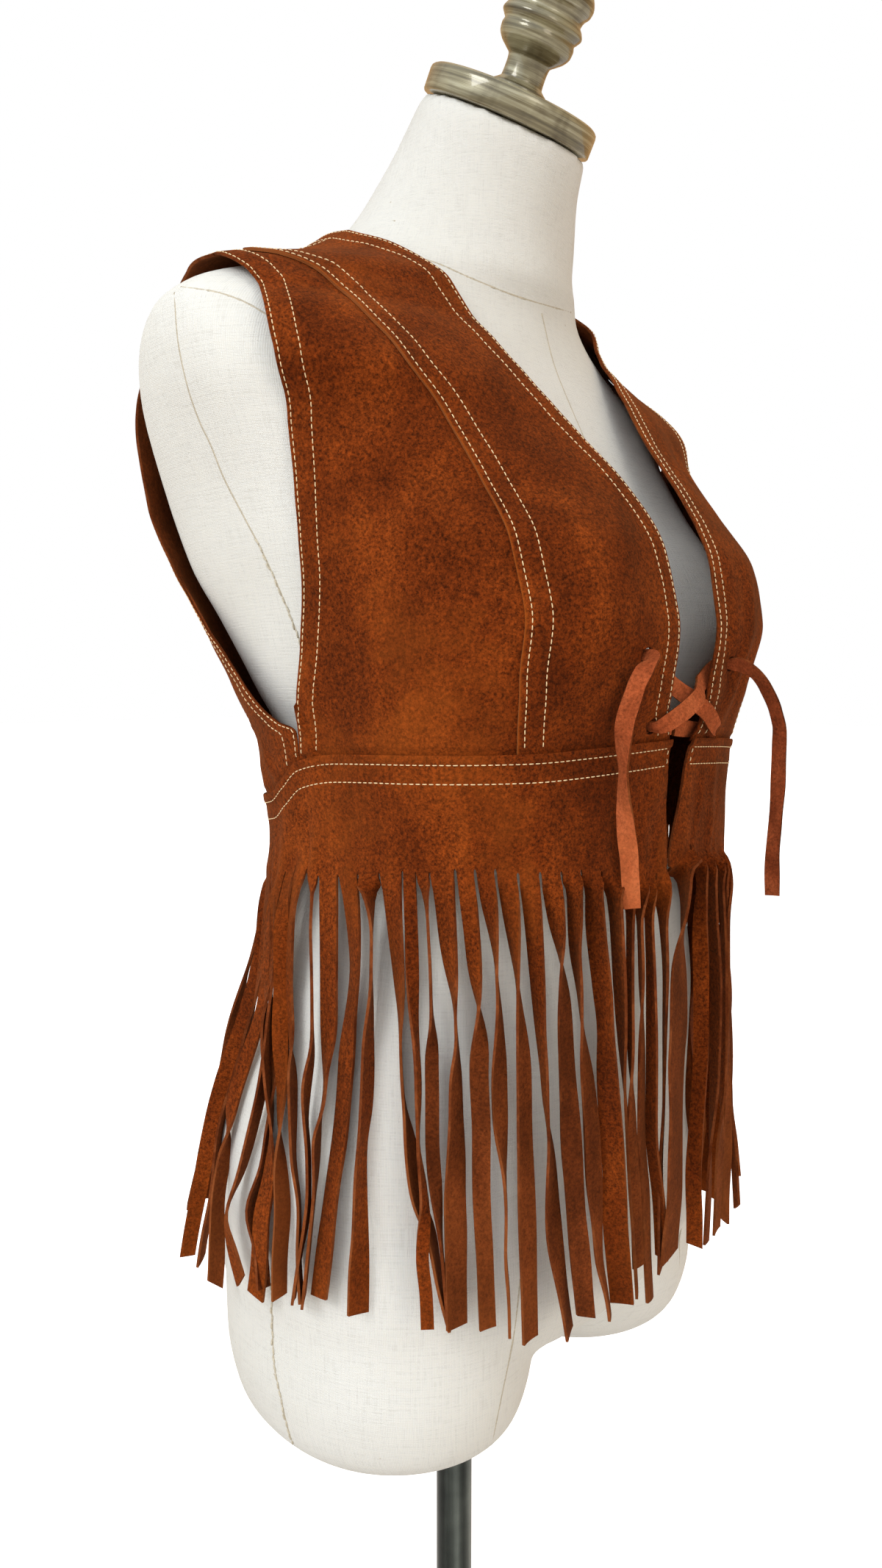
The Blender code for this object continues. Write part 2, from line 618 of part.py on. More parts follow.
join(torso, rod("socket_guide", -330, POLE_TOP + SEAM_GAP, SOCKET_RADIUS, linen), "DIFFERENCE")
FLOOR = -WAIST_HEIGHT
pole = rod("form_pole", FLOOR + BASE_THICK + SEAM_GAP, POLE_TOP, POLE_RADIUS, steel)


def turned(name, rows, seat, tilt_deg, mat, segments=32, hollow=False):
    """A turned piece standing on a seat, its axis leaning forward by tilt_deg."""
    a = np.linspace(0, 2 * math.pi, segments, endpoint=False)
    verts = [(r * MM * math.cos(t), r * MM * math.sin(t), h * MM) for h, r in rows for t in a]
    bands = len(rows) if hollow else len(rows) - 1
    faces = []
    for i in range(bands):
        low, high = i * segments, (i + 1) % len(rows) * segments
        for j in range(segments):
            k = (j + 1) % segments
            faces.append((low + j, low + k, high + k, high + j))
    if not hollow:
        faces.append(tuple(range(segments - 1, -1, -1)))
        faces.append(tuple((len(rows) - 1) * segments + j for j in range(segments)))
    me = mesh_from(name, verts, faces)
    bm = bmesh.new()
    bm.from_mesh(me)
    bmesh.ops.recalc_face_normals(bm, faces=bm.faces)
    bm.to_mesh(me)
    bm.free()
    me.shade_smooth()
    me.set_sharp_from_angle(angle=math.radians(40))
    ob = add_object(name, me, mat)
    ob.location = world(seat)
    ob.rotation_euler = (math.radians(tilt_deg), 0, 0)
    return ob


NECK_TILT = FORM_ROWS[-1][7]
neck_axis = np.array([0, -math.sin(math.radians(NECK_TILT)), math.cos(math.radians(NECK_TILT))])
neck_top = np.array([0, FORM_ROWS[-1][4], FORM_ROWS[-1][0]], float)
cap_seat = neck_top + SEAM_GAP * neck_axis
turned("form_neck_cap", CAP_ROWS, cap_seat, NECK_TILT, varnish, 40)
turned("form_finial", FINIAL_ROWS, cap_seat + (CAP_THICK + SEAM_GAP) * neck_axis, NECK_TILT, varnish, 24)

base_rows = [(0, BASE_RADIUS - 1.5), (1.5, BASE_RADIUS), (BASE_THICK - 4.0, BASE_RADIUS),
             (BASE_THICK, BASE_RADIUS - 4.0)]
turned("form_base", base_rows, (0, 0, FLOOR), 0, steel, 48)


collar_rows = [(0, POLE_RADIUS + 0.4), (0, COLLAR_RADIUS), (COLLAR_HEIGHT - 3, COLLAR_RADIUS),
               (COLLAR_HEIGHT, COLLAR_RADIUS - 3), (COLLAR_HEIGHT, POLE_RADIUS + 0.4)]
turned("form_collar", collar_rows, (0, 0, FLOOR + BASE_THICK + SEAM_GAP), 0, steel, 24, hollow=True)
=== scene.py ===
"""Looks of the fringed suede vest and the dress form that wears it.

Every table is in millimetres, with heights measured from the form's natural waist,
on the same section tables as the part. World units are metres, +Z up.
"""
import math

import bmesh
import bpy
import numpy as np
from mathutils import Matrix, Vector
from mathutils.bvhtree import BVHTree

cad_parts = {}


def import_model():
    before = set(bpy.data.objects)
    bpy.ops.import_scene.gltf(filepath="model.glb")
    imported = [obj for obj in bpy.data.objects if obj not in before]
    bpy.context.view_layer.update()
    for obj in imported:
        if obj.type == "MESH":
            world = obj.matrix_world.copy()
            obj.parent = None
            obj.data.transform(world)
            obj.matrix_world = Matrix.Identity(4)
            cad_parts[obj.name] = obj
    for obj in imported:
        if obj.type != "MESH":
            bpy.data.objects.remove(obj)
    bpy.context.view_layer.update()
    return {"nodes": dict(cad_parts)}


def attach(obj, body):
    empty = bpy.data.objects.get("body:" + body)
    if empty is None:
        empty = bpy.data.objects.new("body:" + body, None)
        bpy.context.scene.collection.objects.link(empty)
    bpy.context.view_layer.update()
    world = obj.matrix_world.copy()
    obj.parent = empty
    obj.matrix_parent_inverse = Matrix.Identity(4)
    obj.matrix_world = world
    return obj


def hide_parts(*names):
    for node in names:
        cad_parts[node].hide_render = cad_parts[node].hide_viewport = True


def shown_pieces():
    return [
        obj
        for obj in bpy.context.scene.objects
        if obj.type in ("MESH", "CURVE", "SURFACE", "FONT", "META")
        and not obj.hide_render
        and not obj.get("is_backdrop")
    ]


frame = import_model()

MM = 0.001
WAIST_HEIGHT = 620.0
SUEDE = 1.4
SEAM_STEP = 0.005
RNG = np.random.default_rng(7)

# ------------------------------------------------------------------ camera
AZIMUTH = math.radians(50.0)
YAW = math.atan(19 / 1603)
PITCH = math.atan(136.5 / 1603)
FOCAL = 1603.0            # in pixels of a 1200 x 2133 picture
CAM_AT = np.array([-536.2, -450.0, 131.0])
fwd = np.array([math.sin(AZIMUTH), math.cos(AZIMUTH), 0.0])
rgt = np.array([math.cos(AZIMUTH), -math.sin(AZIMUTH), 0.0])
up = np.array([0, 0, 1.0])
level_fwd = fwd * math.cos(YAW) - rgt * math.sin(YAW)
CAM_R = rgt * math.cos(YAW) + fwd * math.sin(YAW)
CAM_F = level_fwd * math.cos(PITCH) - up * math.sin(PITCH)
CAM_U = up * math.cos(PITCH) + level_fwd * math.sin(PITCH)

cam_data = bpy.data.cameras.new("camera")
cam_data.sensor_width = 36.0
cam_data.sensor_fit = "AUTO"
cam_data.lens = FOCAL * 36.0 / 2133.0
cam_data.clip_start = 0.01
cam_data.clip_end = 50
cam = bpy.data.objects.new("camera", cam_data)
bpy.context.scene.collection.objects.link(cam)
cam.matrix_world = Matrix([
    [CAM_R[0], CAM_U[0], -CAM_F[0], CAM_AT[0] * MM],
    [CAM_R[1], CAM_U[1], -CAM_F[1], CAM_AT[1] * MM],
    [CAM_R[2], CAM_U[2], -CAM_F[2], (CAM_AT[2] + WAIST_HEIGHT) * MM],
    [0, 0, 0, 1]])
bpy.context.scene.camera = cam


def project(p):
    """Picture x, y and depth of points in table millimetres."""
    q = np.asarray(p, float) - CAM_AT
    d = q @ CAM_F
    return np.stack([600 + FOCAL * (q @ CAM_R) / d, 1066.5 - FOCAL * (q @ CAM_U) / d, d], -1)


# ------------------------------------------------- sections of form and vest
FORM_COLS = "z half_width front back centre_y front_power back_power tilt".split()
FORM_ROWS = [
    (-215, 147, 98, 92, -14, 2.25, 2.3, 0),
    (-180, 159, 115, 112, -14, 2.3, 2.4, 0),
    (-130, 158, 115, 114, -9, 2.2, 2.3, 0),
    (-85, 149, 115, 104, -8, 2.5, 2.3, 0),
    (-40, 138, 108, 94, -14, 2.8, 2.2, 0),
    (0, 127, 97, 86, -22, 2.9, 2.2, 0),
    (45, 120, 82, 84, -26, 2.3, 2.2, 0),
    (92, 124, 87, 88, -22, 2.2, 2.2, 0),
    (130, 134, 102, 94, -14, 2.2, 2.5, 0),
    (165, 142, 110, 96, -6, 2.2, 3.1, 0),
    (195, 150, 112, 102, 0, 2.2, 3.6, 0),
    (225, 158, 106, 106, 3, 2.1, 3.7, 0),
    (255, 171, 96, 105, 5, 2.1, 3.5, 0),
    (280, 182, 87, 101, 8, 2.1, 3.1, 0),
    (300, 186, 81, 93, 11, 1.95, 2.8, 0),
    (313, 185, 78, 85, 13, 1.8, 2.5, 0),
    (323, 175, 75, 78, 13, 1.65, 2.2, 1),
    (332, 155, 73, 72, 13, 1.6, 2.0, 2),
    (340, 131, 72, 67, 12, 1.6, 1.9, 4),
    (349, 107, 72, 63, 10, 1.65, 1.9, 7),
    (360, 85, 72, 58, 6, 1.8, 1.9, 11),
    (374, 68, 67, 53, 0, 1.9, 2.0, 16),
    (392, 58, 60, 49, -8, 2.0, 2.0, 21),
    (414, 51, 53, 47, -21, 2.0, 2.0, 26),
    (436, 47.5, 47.5, 46.5, -36, 2.0, 2.0, 28.4),
]
VEST_COLS = "level z front_width back_width front back centre_y front_power back_power bust tilt".split()
VEST_ROWS = [
    (1, -180, 169, 169, 152, 133, -4, 2.15, 2.3, 0, 0),
    (2, -130, 162, 162, 151, 122, -6, 2.2, 2.3, 0, 0),
    (3, -85, 153, 153, 148, 116, -9, 2.25, 2.3, 0, 0),
    (4, -40, 145, 145, 141, 112, -14, 2.4, 2.3, 0, 0),
    (5, 0, 140, 140, 133, 108, -20, 2.5, 2.3, 0, 0),
    (6, 45, 134, 134, 120, 106, -28, 2.6, 2.3, 0, 0),
    (7, 92, 139, 140, 119, 108, -28, 2.7, 2.3, 0, 0),
    (8, 130, 146, 149, 138, 106, -18, 2.7, 2.5, 3, 0),
    (9, 165, 148, 158, 151, 106, -8, 2.7, 2.8, 8, 0),
    (10, 195, 153, 172, 149, 111, -4, 2.6, 3.0, 9, 0),
    (11, 225, 159, 182, 137, 115, 0, 2.3, 3.2, 8, 0),
    (12, 255, 168, 187, 118, 116, 3, 2.25, 3.2, 5, 0),
    (13, 280, 183, 190, 103, 113, 7, 2.5, 3.1, 2, 0),
    (14, 302, 191, 192, 90, 103, 11, 2.2, 2.9, 0, 0),
    (15, 317, 190, 190, 82, 93, 13, 1.8, 2.6, 0, 0),
    (16, 330, 178, 178, 79, 86, 13, 1.65, 2.4, 0, 1),
    (17, 339, 157, 157, 78, 80, 13, 1.65, 2.2, 0, 2),
    (18, 346, 133, 133, 77, 75, 12, 1.65, 2.1, 0, 4),
    (19, 354, 107, 107, 77, 70, 10, 1.7, 2.0, 0, 7),
    (20, 365, 86, 86, 76, 65, 6, 1.85, 2.0, 0, 11),
    (21, 379, 70, 70, 72, 60, 0, 1.95, 2.0, 0, 16),
    (22, 397, 63, 63, 65, 56, -8, 2.0, 2.0, 0, 21),
]
BUST_X, BUST_Z = 84.0, 166.0
BUST_ACROSS, BUST_UP, BUST_DOWN = 42.0, 66.0, 42.0
FORM_BUST = 38.0
FRONT_COLS = "edge_angle edge_level princess_angle princess_level arm_angle arm_level".split()
FRONT_ROWS = [
    (2.1, 7.23, 41.8, 7.12, 96.5, 6.98),
    (6.6, 7.76, 42.2, 7.70, 91.5, 7.55),
    (7.1, 8.50, 42.8, 8.45, 85.0, 8.45),
    (7.8, 9.46, 42.9, 9.35, 81.2, 9.35),
    (8.6, 10.35, 42.4, 10.20, 79.0, 10.20),
    (10.5, 11.19, 41.8, 11.00, 76.3, 11.00),
    (13.2, 11.95, 41.1, 11.75, 73.0, 11.75),
    (15.7, 12.80, 40.3, 12.50, 68.3, 12.45),
    (17.2, 13.75, 40.2, 13.30, 64.0, 13.15),
    (19.2, 14.90, 42.8, 14.20, 62.0, 13.90),
    (23.5, 16.20, 47.8, 15.10, 63.5, 14.70),
    (31.5, 17.60, 56.0, 15.90, 68.0, 15.35),
    (45.0, 18.80, 66.0, 16.45, 75.0, 15.85),
    (66.0, 19.75, 78.0, 16.95, 82.5, 16.30),
    (89.8, 20.25, 89.8, 17.50, 89.8, 16.65),
]
BACK_COLS = "arm_angle arm_level centre_angle centre_level".split()
BACK_ROWS = [
    (96.5, 6.98, 180, 6.50),
    (93.9, 7.38, 180, 7.00),
    (99.6, 7.50, 180, 7.60),
    (105.2, 7.68, 180, 8.30),
    (110.5, 8.10, 180, 9.10),
    (114.5, 8.45, 180, 10.0),
    (119.0, 8.78, 180, 10.9),
    (124.0, 9.12, 180, 11.9),
    (129.0, 9.55, 180, 12.9),
    (132.3, 10.15, 180, 14.0),
    (133.8, 10.90, 180, 15.2),
    (134.4, 11.70, 180, 16.4),
    (134.8, 12.60, 180, 17.6),
    (136.6, 13.60, 180, 18.8),
    (136.0, 14.45, 180, 19.7),
    (132.8, 15.35, 156, 19.85),
    (127.0, 16.20, 131, 20.05),
    (111.0, 16.66, 108, 20.2),
    (90.2, 16.65, 90.2, 20.25),
]
BACK_NECK_ROW = 14
WAIST_COLS = "angle seam_level slit_level".split()
WAIST_ROWS = [
    (0, 7.24, 5.87), (20, 7.19, 5.90), (42, 7.12, 5.97), (64, 7.11, 5.96), (84, 7.08, 5.88),
    (96.5, 6.98, 5.81), (105, 6.76, 5.77), (115, 6.57, 5.71), (135, 6.50, 5.67), (180, 6.50, 5.65),
]
FRONT_BAND_COLS = "level right left".split()
FRONT_BAND_ROWS = [(1.0, 1.5, 9.0), (3.0, 2.2, 5.0), (5.0, 2.9, 0.6), (5.9, 2.9, -1.8), (6.5, 2.8, 3.0),
                   (7.23, 2.1, 6.7)]
SIDE_SEAM_ANGLE = 96.5
HOLE_ROWS = {"right": [(-10.8, 7.45), (-17.6, 8.39)], "left": [(15.1, 7.33), (16.0, 8.31)]}
HOLE_RADIUS = 4.0


def table(cols, rows):
    return {c: np.array([r[i] for r in rows], float) for i, c in enumerate(cols)}


def smooth(xs, ys, x):
    """Monotone cubic curve through a table's column."""
    h = np.diff(xs)
    d = np.diff(ys) / h
    m = np.zeros(len(xs))
    for i in range(1, len(xs) - 1):
        if d[i - 1] * d[i] > 0:
            w1, w2 = 2 * h[i] + h[i - 1], h[i] + 2 * h[i - 1]
            m[i] = (w1 + w2) / (w1 / d[i - 1] + w2 / d[i])
    m[0], m[-1] = d[0], d[-1]
    x = np.asarray(x, float)
    i = np.clip(np.searchsorted(xs, x) - 1, 0, len(xs) - 2)
    s = np.clip((x - xs[i]) / h[i], 0, 1)
    return ((2 * s**3 - 3 * s**2 + 1) * ys[i] + (s**3 - 2 * s**2 + s) * h[i] * m[i]
            + (3 * s**2 - 2 * s**3) * ys[i + 1] + (s**3 - s**2) * h[i] * m[i + 1])


def left_set(x, z):
    """The left side isn't quite the mirror of the right: its neck stands out and its shoulder sits back, mm."""
    near, far = (np.clip((x - a) / w, 0, 1) for a, w in ((10, 40), (40, 70)))
    return (6.8 * np.exp(-((z - 382) / 24) ** 2) * near * near * (3 - 2 * near)
            - 10.0 * np.exp(-((z - 325) / 25) ** 2) * far * far * (3 - 2 * far))


def section(z, front_width, back_width, front, back, centre_y, front_power, back_power, bust, tilt, phi):
    s, c = np.sin(phi), np.cos(phi)
    ahead = c > 0
    n = np.where(ahead, front_power, back_power)
    k = (np.abs(s) ** n + np.abs(c) ** n) ** (-1 / n)
    x = np.where(ahead, front_width, back_width) * s * k
    y = -np.where(ahead, front, back) * c * k
    rise = np.where(z > BUST_Z, BUST_UP, BUST_DOWN)
    swell = sum(np.exp(-((x - side * BUST_X) / BUST_ACROSS) ** 2) for side in (-1, 1))
    y = y - bust * swell * np.exp(-((z - BUST_Z) / rise) ** 2) * np.clip(2 * c, 0, 1)
    lean = np.radians(tilt)
    y, z = centre_y + y * np.cos(lean), z + y * np.sin(lean)
    out = left_set(x, z)
    return np.stack([x + 0.643 * out, y - 0.766 * out, z], -1)


FORM = table(FORM_COLS, FORM_ROWS)
VEST = table(VEST_COLS, VEST_ROWS)
FRONT = table(FRONT_COLS, FRONT_ROWS)
BACK = table(BACK_COLS, BACK_ROWS)
WAIST = table(WAIST_COLS, WAIST_ROWS)
FRONT_BAND = table(FRONT_BAND_COLS, FRONT_BAND_ROWS)
FORM_LEVELS = np.arange(len(FORM_ROWS), dtype=float)


def form_point(level, phi):
    v = [smooth(FORM_LEVELS, FORM[c], level) for c in FORM_COLS]
    return section(v[0], v[1], v[1], v[2], v[3], v[4], v[5], v[6], FORM_BUST, v[7], phi)


def vest_point(level, phi):
    v = [smooth(VEST["level"], VEST[c], level) for c in VEST_COLS[1:]]
    return section(*v, phi)


def seam_level(angle):
    return smooth(WAIST["angle"], WAIST["seam_level"], np.abs(angle))


def slit_level(angle):
    return smooth(WAIST["angle"], WAIST["slit_level"], np.abs(angle))


def unit(v):
    return v / np.maximum(np.linalg.norm(v, axis=-1, keepdims=True), 1e-12)


def vest_normal(level, phi):
    """Outward unit normal of the vest's surface."""
    p = vest_point(level, phi)
    du = vest_point(level, phi + 0.004) - p
    up_level = np.minimum(level + 0.02, 21.99)
    dv = vest_point(up_level, phi) - vest_point(np.maximum(up_level - 0.04, 1.0), phi)
    return unit(np.cross(du, dv))


def world(p):
    p = np.asarray(p, float)
    return (p + np.array([0, 0, WAIST_HEIGHT])) * MM


# ------------------------------------------------------------ waves and noise
def ripple(p, size, seed, octaves=3):
    """Soft noise in -1..1 at points p, mm, from a few sine waves in seeded directions."""
    rng = np.random.default_rng(seed)
    out = np.zeros(p.shape[:-1])
    total = 0.0
    for o in range(octaves):
        a = 0.6**o
        for _ in range(5):
            k = unit(rng.normal(size=3)) * (2 * math.pi / (size * 0.62**o)) * rng.uniform(0.7, 1.3)
            out += a * np.sin(p @ k + rng.uniform(0, 6.28))
        total += a * math.sqrt(5 / 2)
    return out / (total * 1.4)


def to_line(p, line_points):
    """Distance from points p to a polyline, and the fraction along it."""
    best = np.full(p.shape[:-1], 1e9)
    at = np.zeros(p.shape[:-1])
    a = line_points
    s = np.concatenate([[0], np.cumsum(np.linalg.norm(np.diff(a, axis=0), axis=1))])
    for i in range(len(a) - 1):
        d = a[i + 1] - a[i]
        t = np.clip(((p - a[i]) @ d) / (d @ d), 0, 1)
        r = np.linalg.norm(p - (a[i] + t[..., None] * d), axis=-1)
        near = r < best
        best = np.where(near, r, best)
        at = np.where(near, (s[i] + t * (s[i + 1] - s[i])) / s[-1], at)
    return best, at


# ------------------------------------------------------------------ materials
def nodes_of(name):
    m = bpy.data.materials.new(name)
    m.use_nodes = True
    nt = m.node_tree
    return m, nt, nt.nodes["Principled BSDF"]


def add(nt, kind, **values):
    n = nt.nodes.new(kind)
    for k, v in values.items():
        if k.startswith("in_"):
            key = k[3:]
            n.inputs[int(key) if key.isdigit() else key.replace("_", " ")].default_value = v
        else:
            setattr(n, k, v)
    return n


def noise(nt, coord, scale, detail=3.0, rough=0.55, distortion=0.0):
    n = add(nt, "ShaderNodeTexNoise", in_Scale=scale, in_Detail=detail, in_Roughness=rough, in_Distortion=distortion)
    nt.links.new(coord, n.inputs["Vector"])
    return n.outputs["Fac"]


def ramp(nt, fac, stops):
    n = add(nt, "ShaderNodeValToRGB")
    while len(n.color_ramp.elements) < len(stops):
        n.color_ramp.elements.new(0.5)
    for e, (pos, col) in zip(n.color_ramp.elements, stops):
        e.position = pos
        e.color = (*col, 1) if len(col) == 3 else (col[0],) * 3 + (1,)
    nt.links.new(fac, n.inputs["Fac"])
    return n.outputs["Color"]


def blend(nt, kind, fac, a, b):
    n = add(nt, "ShaderNodeMix", data_type="RGBA", blend_type=kind)
    for value, socket in ((fac, n.inputs[0]), (a, n.inputs[6]), (b, n.inputs[7])):
        if isinstance(value, (int, float)):
            socket.default_value = value
        elif isinstance(value, tuple):
            socket.default_value = (*value, 1)
        else:
            nt.links.new(value, socket)
    return n.outputs[2]


def bump(nt, height, distance, strength, before=None):
    n = add(nt, "ShaderNodeBump", in_Distance=distance, in_Strength=strength)
    nt.links.new(height, n.inputs["Height"])
    if before is not None:
        nt.links.new(before, n.inputs["Normal"])
    return n.outputs["Normal"]


def lin(r, g, b):
    return tuple(((c / 255) / 12.92 if c <= 10 else ((c / 255 + 0.055) / 1.055) ** 2.4) for c in (r, g, b))


def suede(name, dark, mid, light, grain=0.66, sheen=0.10, tint=(1.0, 0.42, 0.15), cloud=34.0):
    """Brushed hide: cloudy nap, a fine broken grain, and a tone that pieces set for themselves, which also carries
    their painted shade and painted light.
    """
    m, nt, b = nodes_of(name)
    at = add(nt, "ShaderNodeTexCoord").outputs["Object"]
    brushed = add(nt, "ShaderNodeMapping")
    brushed.inputs["Scale"].default_value = (1.0, 1.0, 0.45)
    nt.links.new(at, brushed.inputs["Vector"])
    clouds = noise(nt, brushed.outputs["Vector"], cloud, 2.5, 0.52, 0.6)
    col = ramp(nt, clouds, [(0.30, dark), (0.50, mid), (0.70, light)])
    fine = noise(nt, at, 820.0, 2.0, 0.75)
    flecks = ramp(nt, fine, [(0.30, (1 - grain,)), (0.50, (1.0,)), (0.72, (1 + 0.55 * grain,))])
    col = blend(nt, "MULTIPLY", 1.0, col, flecks)
    nap = noise(nt, at, 480.0, 3.0, 0.72)
    hairs = ramp(nt, nap, [(0.32, (1 - 0.8 * grain,)), (0.50, (1.0,)), (0.68, (1 + 0.75 * grain,))])
    col = blend(nt, "MULTIPLY", 1.0, col, hairs)
    tone = add(nt, "ShaderNodeAttribute", attribute_name="tone")
    # tone below its middle darkens the hide: painted shade, as well as the hide's uneven tone
    shade = ramp(nt, tone.outputs["Fac"], [(0.0, (0.30, 0.24, 0.20)), (0.5, (1, 1, 1)), (1.0, (1.0, 1.0, 1.0))])
    col = blend(nt, "MULTIPLY", 1.0, col, shade)
    # tone above its middle mixes towards a paler colour: painted light, as well as lighter hide
    high = ramp(nt, tone.outputs["Fac"], [(0.5, (0.0,)), (1.0, (0.75,))])
    col = blend(nt, "MIX", high, col, tuple(min(1.0, k * c) for k, c in zip((1.5, 1.8, 1.7), light)))
    nt.links.new(col, b.inputs["Base Color"])
    b.inputs["Roughness"].default_value = 0.92
    b.inputs["Specular IOR Level"].default_value = 0.06
    b.inputs["Sheen Weight"].default_value = sheen
    b.inputs["Sheen Roughness"].default_value = 0.55
    b.inputs["Sheen Tint"].default_value = (*tint, 1)
    n = bump(nt, nap, 0.0006, 0.35)
    n = bump(nt, fine, 0.0002, 0.55, n)
    nt.links.new(n, b.inputs["Normal"])
    return m


SUEDE_MAT = suede("suede", lin(94, 37, 7), lin(108, 44, 9), lin(126, 55, 14))
FLESH_MAT = suede("suede_inside", lin(86, 38, 13), lin(100, 46, 17), lin(118, 56, 23), grain=0.4, sheen=0.06, cloud=50.0)
CUT_MAT = suede("suede_cut_edge", lin(92, 40, 15), lin(112, 54, 24), lin(132, 70, 36), grain=0.25, sheen=0.05, cloud=160.0)
LACE_MAT = suede("lace_suede", lin(142, 66, 35), lin(160, 77, 42), lin(176, 90, 52), grain=0.36, sheen=0.12, cloud=60.0)


def linen_material():
    """Plain-woven linen: threads both ways from the piece's own unrolled map, slubs and a few specks."""
    m, nt, b = nodes_of("linen")
    uv = add(nt, "ShaderNodeUVMap", uv_map="unrolled").outputs["UV"]
    at = add(nt, "ShaderNodeTexCoord").outputs["Object"]
    threads = []
    for direction in ("X", "Y"):
        w = add(nt, "ShaderNodeTexWave", wave_type="BANDS", bands_direction=direction, wave_profile="SIN",
                in_Scale=445.0, in_Distortion=0.8, in_Detail=1.0, in_Detail_Scale=60.0)
        nt.links.new(uv, w.inputs["Vector"])
        threads.append(w.outputs["Fac"])
    weave = add(nt, "ShaderNodeMath", operation="MULTIPLY")
    nt.links.new(threads[0], weave.inputs[0])
    nt.links.new(threads[1], weave.inputs[1])
    weave = weave.outputs[0]
    slubs = []
    for sx, sy in ((60.0, 900.0), (900.0, 60.0)):
        mp = add(nt, "ShaderNodeMapping")
        mp.inputs["Scale"].default_value = (sx, sy, 1)
        nt.links.new(uv, mp.inputs["Vector"])
        slubs.append(noise(nt, mp.outputs["Vector"], 1.0, 2.0, 0.6))
    both = add(nt, "ShaderNodeMath", operation="ADD")
    nt.links.new(slubs[0], both.inputs[0])
    nt.links.new(slubs[1], both.inputs[1])
    soft = noise(nt, at, 7.0, 3.0, 0.5)
    col = ramp(nt, soft, [(0.3, lin(232, 230, 223)), (0.7, lin(240, 239, 234))])
    streak = ramp(nt, both.outputs[0], [(0.72, (0.90, 0.885, 0.86)), (1.0, (1, 1, 1)), (1.28, (1.0, 0.99, 0.97))])
    col = blend(nt, "MULTIPLY", 0.9, col, streak)
    pores = ramp(nt, weave, [(0.0, (0.86, 0.845, 0.82)), (0.35, (1, 1, 1))])
    col = blend(nt, "MULTIPLY", 0.8, col, pores)
    cells = add(nt, "ShaderNodeTexVoronoi", in_Scale=42.0, in_Randomness=1.0)
    nt.links.new(at, cells.inputs["Vector"])
    specks = ramp(nt, cells.outputs["Distance"], [(0.0, (0.62, 0.52, 0.40)), (0.018, (0.75, 0.68, 0.58)), (0.03, (1, 1, 1))])
    col = blend(nt, "MULTIPLY", 0.7, col, specks)
    nt.links.new(col, b.inputs["Base Color"])
    b.inputs["Roughness"].default_value = 0.9
    b.inputs["Specular IOR Level"].default_value = 0.15
    b.inputs["Sheen Weight"].default_value = 0.08
    b.inputs["Sheen Roughness"].default_value = 0.6
    n = bump(nt, weave, 0.00025, 0.6)
    nt.links.new(bump(nt, both.outputs[0], 0.0004, 0.4, n), b.inputs["Normal"])
    return m


def thread_material(name, colour):
    m, nt, b = nodes_of(name)
    at = add(nt, "ShaderNodeTexCoord").outputs["Object"]
    f = noise(nt, at, 900.0, 2.0, 0.6)
    nt.links.new(ramp(nt, f, [(0.35, tuple(0.72 * c for c in colour)), (0.65, colour)]), b.inputs["Base Color"])
    b.inputs["Roughness"].default_value = 0.6
    b.inputs["Specular IOR Level"].default_value = 0.3
    nt.links.new(bump(nt, f, 0.0001, 0.5), b.inputs["Normal"])
    return m


def varnish_material():
    """Olive-bronze stain brushed round the turning, under gloss varnish."""
    m, nt, b = nodes_of("varnish")
    at = add(nt, "ShaderNodeTexCoord").outputs["Object"]
    mp = add(nt, "ShaderNodeMapping")
    mp.inputs["Scale"].default_value = (9.0, 9.0, 330.0)
    nt.links.new(at, mp.inputs["Vector"])
    streaks = noise(nt, mp.outputs["Vector"], 1.0, 4.0, 0.62, 0.4)
    cloud = noise(nt, at, 55.0, 3.0, 0.55, 0.6)
    col = ramp(nt, streaks, [(0.28, lin(62, 54, 34)), (0.44, lin(118, 108, 78)), (0.58, lin(160, 152, 122)),
                             (0.74, lin(206, 203, 180))])
    patch = ramp(nt, cloud, [(0.34, (0.50, 0.46, 0.38)), (0.52, (1, 1, 1)), (0.72, (1.15, 1.15, 1.1))])
    col = blend(nt, "MULTIPLY", 0.85, col, patch)
    nt.links.new(col, b.inputs["Base Color"])
    rough = ramp(nt, streaks, [(0.3, (0.20,)), (0.7, (0.34,))])
    nt.links.new(rough, b.inputs["Roughness"])
    b.inputs["Metallic"].default_value = 0.25
    b.inputs["Coat Weight"].default_value = 0.8
    b.inputs["Coat Roughness"].default_value = 0.06
    nt.links.new(bump(nt, streaks, 0.0003, 0.35), b.inputs["Normal"])
    return m


